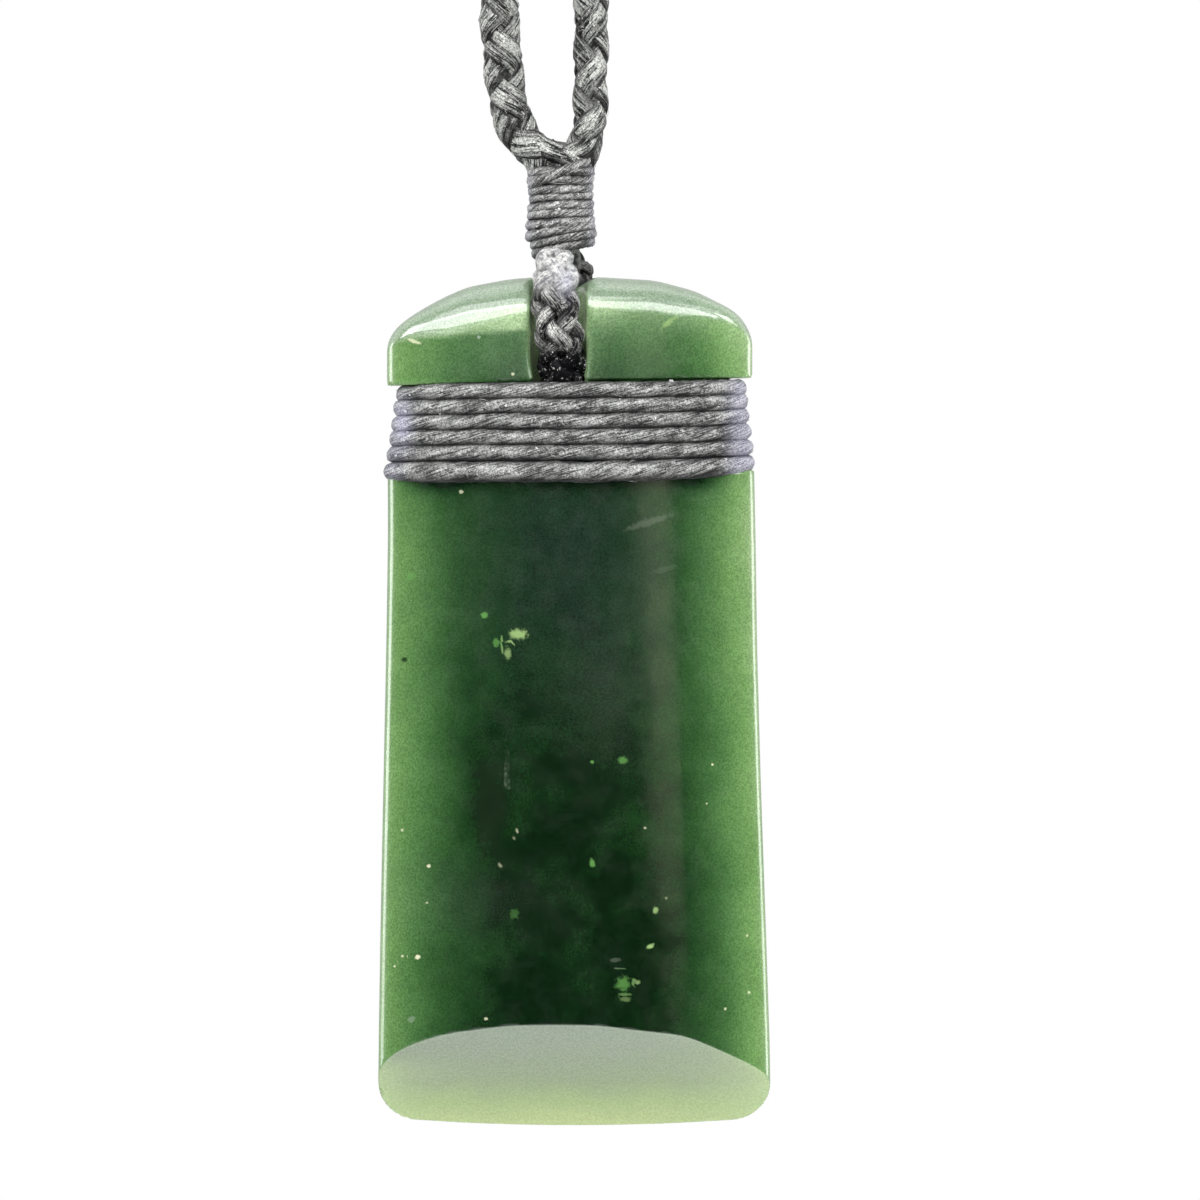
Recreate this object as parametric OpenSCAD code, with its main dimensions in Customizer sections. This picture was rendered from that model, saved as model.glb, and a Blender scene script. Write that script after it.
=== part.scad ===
// Adze pendant: a polished greenstone blade, lashed at its waist, hung by a braided bail
// that passes through the blade, gathered by a whipping into a braided neck cord.
// The origin is where the neck cord rests at the top of its loop, +Z is up,
// +X is to the right of a viewer who faces the bevelled side, and that side faces -Y.

/* [Blade] */
// Height of the blade from its cutting edge to its crown
blade_h = 50; // [48:0.5:54]
// Width of the blade just above its cutting edge
blade_w = 23.1; // [22.6:0.1:24.6]
// Thickness of the blade along its middle
blade_t = 6.5; // [6.2:0.1:6.8]
// Height of the ground bevel at the middle of the front
bevel_h = 6.2; // [5:0.1:8]
// Width of the channels and the hole that the bail lies in
channel_w = 3.5; // [3.45:0.05:3.7]

/* [Lashing] */
// Diameter of the waxed cord wound round the waist
lash_d = 0.88; // [0.8:0.01:0.9]
// Distance from one turn of the lashing to the next
lash_pitch = 0.94; // [0.92:0.005:0.945]
// Passes of the lashing across the front
lash_turns = 6; // [3:1:6]

/* [Bail and whipping] */
// Diameter of one strand of the bail's braid
strand_d = 0.68; // [0.6:0.01:0.69]
// Diameter of the same strand where the whipping squeezes it
squeezed_d = 0.61; // [0.54:0.01:0.62]
// Diameter of the thread of the whipping
thread_d = 0.58; // [0.5:0.01:0.6]
// Height of the whipping
whip_h = 5.8; // [4.6:0.1:5.8]

/* [Neck cord] */
// Diameter of the braided neck cord
neck_d = 2.06; // [1.8:0.02:2.1]

/* [Hidden] */

// Places along the height of the whole pendant
drop = 282;
crown_gap = 1.1;
crown_z = -drop - whip_h - crown_gap;
edge_z = crown_z - blade_h;

// Size of the blade that LEVELS describes
table_h = 50;
table_w = 23.1;
table_t = 6.5;
// Everything above this level keeps its distance from the crown
waist_z = 38;

// Columns of LEVELS, all in mm: height above the cutting edge, left edge, right edge,
// depth of the front, depth of the back, and rise from left to right for each mm of width
Z = 0;
LEFT = 1;
RIGHT = 2;
FRONT = 3;
BACK = 4;
TILT = 5;
LEVELS = [
    [0.00, -7.30, 9.00, 3.15, 2.90, 0],
    [0.12, -8.00, 9.60, 3.15, 3.00, 0],
    [0.35, -8.75, 10.35, 3.15, 3.10, 0],
    [0.90, -9.85, 11.40, 3.20, 3.20, 0],
    [1.60, -10.55, 12.00, 3.20, 3.25, 0],
    [2.50, -10.85, 12.25, 3.20, 3.30, 0],
    [4.50, -10.88, 12.25, 3.20, 3.30, 0],
    [12.0, -10.76, 12.00, 3.20, 3.30, 0],
    [20.0, -10.60, 11.72, 3.20, 3.30, 0],
    [28.0, -10.43, 11.50, 3.20, 3.30, 0],
    [35.0, -10.32, 11.40, 3.20, 3.30, 0],
    [37.0, -10.26, 11.34, 3.20, 3.30, 0.010],
    [38.1, -10.12, 11.06, 3.12, 3.22, 0.020],
    [38.25, -9.62, 10.47, 2.90, 3.00, 0.020],
    [41.0, -9.15, 10.15, 2.85, 2.95, 0.020],
    [43.9, -8.75, 9.85, 2.82, 2.92, 0.020],
    [44.05, -10.20, 11.00, 3.12, 3.22, 0.020],
    [44.45, -10.38, 11.20, 3.20, 3.30, 0.015],
    [46.4, -10.36, 11.22, 3.20, 3.30, 0],
    [46.95, -10.05, 11.08, 3.18, 3.28, 0],
    [47.8, -8.80, 10.35, 3.05, 3.15, 0],
    [48.65, -7.20, 8.95, 2.70, 2.80, 0],
    [49.2, -6.00, 7.75, 2.25, 2.35, 0],
    [49.6, -4.80, 6.35, 1.75, 1.85, 0],
    [49.85, -3.50, 5.00, 1.30, 1.40, 0],
    [50.0, -2.00, 3.40, 0.85, 0.95, 0]
];
// How full the front and the back of each level are: 2 is an ellipse, more is squarer
front_power = 2.4;
back_power = 3.2;
blade_sides = 44;
// Width of the flat that the bevel leaves along the cutting edge
edge_land = 0.3;

// Room between the lashing and the stone under it
gap = 0.08;

// The lashing starts low on the left of the back and ends high on the right of the back
lash_low = 38.5;
lash_start = 150;
lash_end = 370 + 360 * (lash_turns - 1);
lash_step = 12;
cord_sides = 8;

// Route of one side of the bail from the top of the whipping to the middle of the hole:
// distance in front of or behind the middle of the blade, and height above the cutting edge
hole_z = 42.6;
whip_low_z = table_h + crown_gap;
BAIL_ROUTE = [[0, whip_low_z + 0.97 * whip_h], [0, whip_low_z + 0.64 * whip_h],
    [0, whip_low_z + 0.32 * whip_h], [0, whip_low_z + 0.1], [0.41, 50.5], [1.26, 49.7],
    [2.49, 48.6], [3.0, 47.2], [2.8, 45.7], [1.81, 44.3], [1.31, 43.0], [0, hole_z]];
// Ends of each channel in the same terms, with the share of back_shift that each end has
CHANNEL = [[0.9, 51.4, 1], [3.05, 46.4, 1], [3.05, 47.0, 1], [1.3, hole_z, 0.3]];
// How far the axis of the saddle is over the crown
saddle_rise = 0.95;
// The back of the bail moves this far to the right, from this share of its route on
back_shift = 0.6;
shift_from = 0.28;
// Share of the route at which the strands leave the whipping, start and end their braid,
// and lie flat in the hole
leave_at = 0.21;
braid_from = 0.478;
braid_to = 0.758;
flat_at = 0.93;
// Steps along each of the four stretches that these shares divide the route into
BAIL_STEPS = [2, 6, 16, 8];
// Share of the route over which a strand looks ahead and behind to find its way
sight = 0.077;
// The braid: mean radius, how far a strand weaves in and out, and the view it is turned to
braid_r = 0.773;
weave_r = 0.428;
braid_turn = 45;
// The ring of eight strands inside the whipping, and the flat bundle in the hole
slot_r = 0.96;
flat_r = 1.13;
// Columns of STRANDS, all in degrees: angle in the whipping, at the start of the braid,
// turn over the braid, and angle in the hole
IN_WHIPPING = 0;
AT_BRAID = 1;
TURN = 2;
IN_HOLE = 3;
STRANDS = [
    [112.5, 90, 360, 156.5],
    [22.5, -90, 360, -23.5],
    [67.5, 0, -360, 23.5],
    [157.5, 180, -360, 203.5]
];
strand_sides = 10;

whip_r = 1.62;
whip_pitch = 0.63;
whip_step = 24;
// The thread starts and ends on the back
whip_start = 90;

// Each half of the neck cord as distance from the middle and height, from the whipping up.
// The first points follow the photograph, the rest open to a round neck.
NECK_LOW_LEFT = [[-1.06, -281.6], [-1.3, -281.1], [-2.3, -280], [-3.1, -278.2], [-3.5, -275.5],
    [-3.7, -272], [-4.1, -268], [-6.3, -260], [-9.2, -250]];
NECK_LOW_RIGHT = [[1.06, -281.7], [1.2, -281], [1.5, -279.7], [1.65, -278], [1.7, -275.5],
    [1.7, -272], [2.4, -267], [5.2, -257], [9.2, -246]];
NECK_HIGH = [[22.1, -205], [35, -160], [48, -115], [58, -79],
    [61, -62], [59.6, -47], [53.6, -31], [43.1, -16.8], [30.5, -7.2], [15.8, -1.1],
    [0.12, 1.03]];
neck_steps = 2;

// Position on a blade of the driving size, from one in the size of the table
function fit_z(z) = z > waist_z ? z + blade_h - table_h
    : z * (waist_z + blade_h - table_h) / waist_z;
function fit_x(x) = x * blade_w / table_w;
function fit_y(y) = y * blade_t / table_t;

// Value of one column of LEVELS at any height
function column(c) = [for (row = LEVELS) [row[Z], row[c]]];
function level(z) = [z, lookup(z, column(LEFT)), lookup(z, column(RIGHT)),
    lookup(z, column(FRONT)), lookup(z, column(BACK)), lookup(z, column(TILT))];

// Point on the outline of one level at angle a, lifted off the stone by off
function power_of(v, p) = sign(v) * pow(abs(v), p);
function outline(row, a, off = 0) =
    let (
        half = fit_x(row[RIGHT] - row[LEFT]) / 2,
        depth = fit_y(sin(a) < 0 ? row[FRONT] : row[BACK]),
        p = sin(a) < 0 ? front_power : back_power,
        u = power_of(cos(a), 2 / p),
        v = power_of(sin(a), 2 / p),
        n = unit([power_of(u, p - 1) / half, power_of(v, p - 1) / depth, 0]),
        x = fit_x(row[RIGHT] + row[LEFT]) / 2 + half * u + off * n.x
    )
    [x, depth * v + off * n.y, fit_z(row[Z]) + row[TILT] * x];

function unit(v) = v / norm(v);

// Triangles that join rings of equal size into a closed solid
function skin(rings, sides) = concat(
    [for (i = [0:rings - 2], j = [0:sides - 1])
        [i * sides + j, i * sides + (j + 1) % sides, (i + 1) * sides + j]],
    [for (i = [0:rings - 2], j = [0:sides - 1])
        [(i + 1) * sides + j, i * sides + (j + 1) % sides, (i + 1) * sides + (j + 1) % sides]],
    [[for (j = [sides - 1:-1:0]) j]],
    [[for (j = [0:sides - 1]) (rings - 1) * sides + j]]
);

// Round cord along a list of points, its rings turned to the direction side.
// d is its diameter, or a list with the diameter at each point.
function tangent(path, i) = unit(path[min(i + 1, len(path) - 1)] - path[max(i - 1, 0)]);
function cord_points(path, d, sides, side) = [
    for (i = [0:len(path) - 1])
        let (
            r = (is_list(d) ? d[i] : d) / 2,
            t = tangent(path, i),
            across = unit(cross(side, t)),
            up = cross(t, across)
        )
        for (j = [0:sides - 1])
            path[i] + (across * cos(360 * j / sides) - up * sin(360 * j / sides)) * r
];
module cord(path, d, sides, side) {
    polyhedron(cord_points(path, d, sides, side), skin(len(path), sides), convexity = 10);
}

// Smooth curve through a list of points, at place t counted in points
function catmull(a, b, c, d, t) =
    (2 * b + (c - a) * t + (2 * a - 5 * b + 4 * c - d) * t * t
        + (3 * b - a - 3 * c + d) * t * t * t) / 2;
function along(points, t) =
    let (
        last = len(points) - 1,
        i = min(floor(t), last - 1),
        before = i > 0 ? points[i - 1] : 2 * points[0] - points[1],
        after = i + 2 <= last ? points[i + 2] : 2 * points[last] - points[last - 1]
    )
    catmull(before, points[i], points[i + 1], after, t - i);

// The polished blade with its bevel, channels, saddle and hole
module blade() {
    color("seagreen")
    translate([0, 0, edge_z])
    difference() {
        blade_body();
        bevel_cut();
        channels();
    }
}

module blade_body() {
    points = [for (row = LEVELS, j = [0:blade_sides - 1]) outline(row, -360 * j / blade_sides)];
    polyhedron(points, skin(len(LEVELS), blade_sides), convexity = 6);
}

module bevel_cut() {
    edge_y = fit_y(LEVELS[0][BACK]) - edge_land;
    front_y = fit_y(level(bevel_h)[FRONT]);
    reach = 2 * blade_w;
    translate([-reach / 2, edge_y, 0])
    rotate([-atan(bevel_h / (edge_y + front_y)), 0, 0])
    translate([0, -reach, -reach])
    cube([reach, reach + blade_t, reach]);
}

// Round groove of the channel's width between two points
module groove(from, to) {
    run = to - from;
    translate(from)
    rotate([0, acos(run.z / norm(run)), atan2(run.y, run.x)])
    cylinder(h = norm(run), d = channel_w, $fn = 32);
}

// One channel on each side of the head, the saddle over the crown and the hole
module channels() {
    crown = fit_z(table_h) + saddle_rise;
    for (face = [-1, 1], i = [0, 2]) {
        low = CHANNEL[i + 1];
        high = CHANNEL[i];
        shift = face > 0 ? back_shift : 0;
        groove(
            [shift * low.z, face * low.x, fit_z(low.y)],
            [shift * high.z, face * high.x, fit_z(high.y)]
        );
    }
    groove([back_shift / 2, -blade_t, crown], [back_shift / 2, blade_t, crown]);
    groove([0, -blade_t, fit_z(hole_z)], [0, blade_t, fit_z(hole_z)]);
}

// Waxed cord wound round the waist, climbing to the right across the front
module lashing() {
    path = [for (a = [lash_start:lash_step:lash_end])
        let (
            z = lash_low + lash_pitch * (a - 180) / 360,
            p = outline(level(z), a, lash_d / 2 + gap)
        )
        [p.x, p.y, fit_z(z)]];
    color("dimgray")
    translate([0, 0, edge_z])
    cord(path, lash_d, cord_sides, [0, 0, 1]);
}

module whipping() {
    turns = (whip_h - thread_d) / whip_pitch;
    path = [for (a = [0:whip_step:turns * 360])
        [whip_r * cos(whip_start + a), whip_r * sin(whip_start + a),
            crown_z + crown_gap + thread_d / 2 + whip_pitch * a / 360]];
    color("gray")
    cord(path, thread_d, cord_sides, [0, 0, 1]);
}

// Share between 0 and 1 of the way of v from one place to another, easing in and out
function eased(v, from, to) =
    let (t = max(0, min(1, (v - from) / (to - from)))) t * t * (3 - 2 * t);

// Angle and radius of strand k about its route at share s of the way down
function strand_angle(k, s) =
    let (row = STRANDS[k], last = row[AT_BRAID] + row[TURN])
    s < braid_from ? row[IN_WHIPPING]
            + (row[AT_BRAID] - row[IN_WHIPPING]) * eased(s, leave_at, braid_from)
        : s < braid_to ? row[AT_BRAID]
            + row[TURN] * (s - braid_from) / (braid_to - braid_from)
        : last + (row[IN_HOLE] - row[AT_BRAID]) * eased(s, braid_to, flat_at);
function strand_radius(k, s) =
    s < braid_from ? slot_r + (braid_r - slot_r) * eased(s, leave_at, braid_from)
        : s < braid_to ? braid_r + weave_r * sign(STRANDS[k][TURN])
            * cos(2 * (strand_angle(k, s) - braid_turn))
        : braid_r + (flat_r - braid_r) * eased(s, braid_to, flat_at);

// Point of strand k at share s of the way from the whipping to the middle of the hole
function strand_point(k, s, face) =
    let (
        last = len(BAIL_ROUTE) - 1,
        here = along(BAIL_ROUTE, s * last),
        ahead = along(BAIL_ROUTE, min(s + sight, 1) * last),
        behind = along(BAIL_ROUTE, max(s - sight, 0) * last),
        run = unit(ahead - behind),
        a = strand_angle(k, s),
        r = strand_radius(k, s),
        shift = face > 0 ? back_shift * sin(180 * eased(s, shift_from, 1)) : 0
    )
    [r * cos(a) + shift,
        face * fit_y(here.x - run.y * r * sin(a)),
        edge_z + fit_z(here.y) + run.x * r * sin(a)];

// Shares of the route at which a strand has its rings, closest along the braid
function strand_shares() =
    let (ends = [0, leave_at, braid_from, braid_to, 1])
    concat([0], [for (i = [0:3], j = [1:BAIL_STEPS[i]])
        ends[i] + (ends[i + 1] - ends[i]) * j / BAIL_STEPS[i]]);

module bail_strand(k) {
    shares = strand_shares();
    last = len(shares) - 1;
    widths = [for (s = shares)
        squeezed_d + (strand_d - squeezed_d) * eased(s, leave_at, braid_from)];
    down = [for (s = shares) strand_point(k, s, -1)];
    up = [for (i = [last - 1:-1:0]) strand_point(k, shares[i], 1)];
    width = concat(widths, [for (i = [last - 1:-1:0]) widths[i]]);
    color("darkslategray")
    cord(concat(down, up), width, strand_sides, [1, 0, 0]);
}

module bail_strand_1() { bail_strand(0); }
module bail_strand_2() { bail_strand(1); }
module bail_strand_3() { bail_strand(2); }
module bail_strand_4() { bail_strand(3); }

// One half of the neck cord, from the whipping to the top of the loop
module neck_half(points) {
    path = [for (i = [0:(len(points) - 1) * neck_steps])
        let (p = along(points, i / neck_steps)) [p.x, 0, p.y]];
    color("dimgray")
    cord(path, neck_d, cord_sides, [0, 1, 0]);
}

module neck_cord_left() {
    neck_half(concat(NECK_LOW_LEFT, [for (p = NECK_HIGH) [-p.x, p.y]]));
}

module neck_cord_right() {
    neck_half(concat(NECK_LOW_RIGHT, NECK_HIGH));
}

blade();
lashing();
bail_strand_1();
bail_strand_2();
bail_strand_3();
bail_strand_4();
whipping();
neck_cord_left();
neck_cord_right();
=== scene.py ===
"""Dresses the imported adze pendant: a polished greenstone blade, its lashing, bail and whipping,
and the braided neck cord, lit softly on a pale stage."""
import logging
import math
from dataclasses import dataclass, field
from enum import Enum
from typing import Callable

import bpy
import numpy as np
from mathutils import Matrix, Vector


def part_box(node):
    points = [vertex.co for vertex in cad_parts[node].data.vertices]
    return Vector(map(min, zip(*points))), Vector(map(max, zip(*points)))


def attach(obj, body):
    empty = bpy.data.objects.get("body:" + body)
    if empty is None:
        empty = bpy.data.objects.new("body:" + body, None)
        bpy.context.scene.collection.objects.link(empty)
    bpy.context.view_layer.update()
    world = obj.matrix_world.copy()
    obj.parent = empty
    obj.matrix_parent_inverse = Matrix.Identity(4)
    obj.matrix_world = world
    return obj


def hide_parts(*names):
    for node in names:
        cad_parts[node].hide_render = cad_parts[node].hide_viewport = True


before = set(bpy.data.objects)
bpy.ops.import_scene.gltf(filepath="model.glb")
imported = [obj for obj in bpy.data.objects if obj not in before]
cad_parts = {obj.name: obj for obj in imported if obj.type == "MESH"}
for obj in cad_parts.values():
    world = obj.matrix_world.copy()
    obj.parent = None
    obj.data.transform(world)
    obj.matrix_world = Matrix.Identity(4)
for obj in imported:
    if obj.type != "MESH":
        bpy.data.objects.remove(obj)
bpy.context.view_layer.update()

MM = 0.001
EDGE_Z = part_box("blade")[0][2] / MM
Array = np.ndarray
Colour = tuple[float, float, float]
Lamp = tuple[str, tuple[float, float, float], tuple[float, float], float]


class Slot(Enum):
    """Material slots of the record that the pieces stand for."""

    STONE = "stone"
    LASHING = "lashing_cord"
    BAIL = "bail_cord"
    WHIPPING = "whipping_thread"
    NECK = "neck_cord"


class Lay(Enum):
    """Direction in which the plies of a cord turn."""

    RIGHT = 1
    LEFT = -1


def unit(vectors: Array) -> Array:
    """Scales vectors to length one.

    Args:
        vectors: rows of vectors.

    Returns:
        The same rows, each of length one.
    """
    return vectors / np.maximum(np.linalg.norm(vectors, axis=-1, keepdims=True), 1e-9)


def ease(value: Array, start: float, end: float) -> Array:
    """Gives the eased share of the way from start to end.

    Args:
        value: numbers to place between the two ends.
        start: value at which the share is 0.
        end: value at which the share is 1.

    Returns:
        Shares from 0 to 1, level at both ends.
    """
    share = np.clip((np.asarray(value, float) - start) / (end - start), 0.0, 1.0)
    return share * share * (3.0 - 2.0 * share)


def smooth_curve(points: list[list[float]], step: float) -> Array:
    """Runs a smooth curve through points and divides it into even steps.

    Args:
        points: rows of coordinates that the curve goes through.
        step: distance between the points of the result.

    Returns:
        Rows of evenly spaced coordinates along the curve.
    """
    rows = np.asarray(points, float)
    ends = np.vstack([2 * rows[0] - rows[1], rows, 2 * rows[-1] - rows[-2]])
    knots = np.concatenate([[0], np.cumsum(np.linalg.norm(np.diff(ends, axis=0), axis=1) ** 0.5)])
    dense = []
    for i in range(1, len(ends) - 2):
        t = np.linspace(knots[i], knots[i + 1], 24, endpoint=False)[:, None]
        k0, k1, k2, k3 = knots[i - 1:i + 3]
        a1 = ((k1 - t) * ends[i - 1] + (t - k0) * ends[i]) / (k1 - k0)
        a2 = ((k2 - t) * ends[i] + (t - k1) * ends[i + 1]) / (k2 - k1)
        a3 = ((k3 - t) * ends[i + 1] + (t - k2) * ends[i + 2]) / (k3 - k2)
        b1 = ((k2 - t) * a1 + (t - k0) * a2) / (k2 - k0)
        b2 = ((k3 - t) * a2 + (t - k1) * a3) / (k3 - k1)
        dense.append(((k2 - t) * b1 + (t - k1) * b2) / (k2 - k1))
    dense = np.vstack(dense + [ends[-2][None]])
    return even_steps(dense, step)


def arc_length(path: Array) -> Array:
    """Gives the distance along a path at each of its points.

    Args:
        path: rows of coordinates.

    Returns:
        One distance for each row, from 0 at the first.
    """
    return np.concatenate([[0.0], np.cumsum(np.linalg.norm(np.diff(path, axis=0), axis=1))])


def even_steps(path: Array, step: float) -> Array:
    """Divides a path into even steps.

    Args:
        path: rows of coordinates.
        step: distance between the points of the result.

    Returns:
        Rows of evenly spaced coordinates, the path's ends among them.
    """
    run = arc_length(path)
    places = np.linspace(0.0, run[-1], max(3, int(round(run[-1] / step)) + 1))
    return np.stack([np.interp(places, run, path[:, i]) for i in range(path.shape[1])], axis=1)


def softened(level: Array, width: int) -> Array:
    """Smooths a table with a bell-shaped window.

    Args:
        level: evenly spaced numbers.
        width: odd number of them that the window covers.

    Returns:
        As many smoothed numbers.
    """
    window = np.hanning(width)
    return np.convolve(np.pad(level, width // 2, mode="edge"), window / window.sum(), "valid")


def tapered(run: Array, reach: float) -> Array:
    """Gives a share that falls to nothing at both ends of a path.

    Args:
        run: distances along the path.
        reach: distance from each end over which it falls.

    Returns:
        Shares from 0 to 1.
    """
    return ease(run, 0.0, reach) * ease(run[-1] - run, 0.0, reach)


def wander(run: Array, spacing: float, amount: float, draw: np.random.Generator) -> Array:
    """Gives a random change along a path.

    Args:
        run: distances along the path.
        spacing: distance between its random numbers.
        amount: their standard deviation.
        draw: source of the random numbers.

    Returns:
        One number for each distance.
    """
    knots = np.arange(0, run[-1] + 3, spacing)
    return np.interp(run, knots, draw.normal(0, amount, len(knots)))


def ring_faces(rings: int, sides: int, flipped: bool = False) -> list[list[int]]:
    """Joins rings of points into a closed skin.

    Args:
        rings: number of rings.
        sides: number of points in each ring.
        flipped: turns the faces the other way.

    Returns:
        The faces, with one at each end.
    """
    index = np.arange(rings * sides).reshape(rings, sides)
    rolled = np.roll(index, -1, axis=1)
    if flipped:
        corners, caps = (index[:-1], index[1:], rolled[1:], rolled[:-1]), (index[0], index[-1][::-1])
    else:
        corners, caps = (index[:-1], rolled[:-1], rolled[1:], index[1:]), (index[0][::-1], index[-1])
    return np.stack(corners, axis=-1).reshape(-1, 4).tolist() + [cap.tolist() for cap in caps]


@dataclass
class Skin:
    """A mesh that is being built: points in mm, faces, and named values of its points."""

    points: Array
    faces: list[list[int]]
    values: dict[str, Array] = field(default_factory=dict)
    normals: Array | None = None

    @staticmethod
    def joined(parts: list["Skin"]) -> "Skin":
        """Joins several skins into one.

        Args:
            parts: skins that hold the same named values.

        Returns:
            One skin with the points, faces and values of all.
        """
        faces: list[list[int]] = []
        start = 0
        for part in parts:
            faces += [[start + i for i in face] for face in part.faces]
            start += len(part.points)
        names = parts[0].values
        return Skin(np.vstack([p.points for p in parts]), faces,
                    {n: np.concatenate([p.values[n] for p in parts]) for n in names})

    def crumbs(self, spots: tuple[tuple[float, float, float], ...], seed: int) -> list["Skin"]:
        """Sets small lumps of wax on the front of the surface.

        Args:
            spots: place to the right, height and radius of each lump.
            seed: start of their random shape.

        Returns:
            One skin for each lump.
        """
        draw = np.random.default_rng(seed)
        rings, sides, pole_gap = 5, 7, 0.15
        proportions, grain_scale = np.array([1.3, 0.8, 0.9]), 9.0
        tilt = np.linspace(pole_gap, math.pi - pole_gap, rings)[:, None]
        around = np.linspace(0, 2 * math.pi, sides, endpoint=False)[None, :]
        ball = np.stack([np.sin(tilt) * np.cos(around), np.sin(tilt) * np.sin(around),
                         np.broadcast_to(np.cos(tilt), (rings, sides))], axis=-1)
        faces = ring_faces(rings, sides, flipped=True)
        lumps = []
        for x, h, size in spots:
            gap = np.hypot(self.points[:, 0] - x, self.points[:, 2] - h) + 0.5 * self.points[:, 1]
            seat = self.points[int(np.argmin(gap))] - np.array([0.0, 0.3 * size, 0.0])
            reach = size * draw.uniform(0.65, 1.25, (rings, sides))
            lump = (ball * reach[..., None] * proportions).reshape(-1, 3)
            values = {name: np.zeros(len(lump)) for name in ("groove", "darkening", "lilac")}
            values.update(worn=np.ones(len(lump)), grain=lump * grain_scale)
            lumps.append(Skin(seat + lump, faces, values))
        return lumps

    def piece(self, name: str, material: bpy.types.Material, slot: Slot,
              nodes: list[str]) -> bpy.types.Object:
        """Makes the Blender object, dresses it and puts it on the body.

        Args:
            name: name of the piece.
            material: finish of the piece.
            slot: material slot of the record that it stands for; not used.
            nodes: solids that it replaces.

        Returns:
            The new object.
        """
        mesh = bpy.data.meshes.new(name)
        mesh.from_pydata((self.points * MM).tolist(), [], self.faces)
        mesh.shade_smooth()
        for key, numbers in self.values.items():
            vector = numbers.ndim == 2
            layer = mesh.attributes.new(key, "FLOAT_VECTOR" if vector else "FLOAT", "POINT")
            layer.data.foreach_set("vector" if vector else "value", numbers.astype(np.float32).ravel())
        if self.normals is not None:
            mesh.normals_split_custom_set_from_vertices(self.normals.tolist())
        mesh.materials.append(material)
        made = bpy.data.objects.new(name, mesh)
        bpy.context.scene.collection.objects.link(made)
        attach(made, "root")
        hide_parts(*nodes)
        logging.info("%s: %d faces", name, len(self.faces))
        return made


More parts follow.
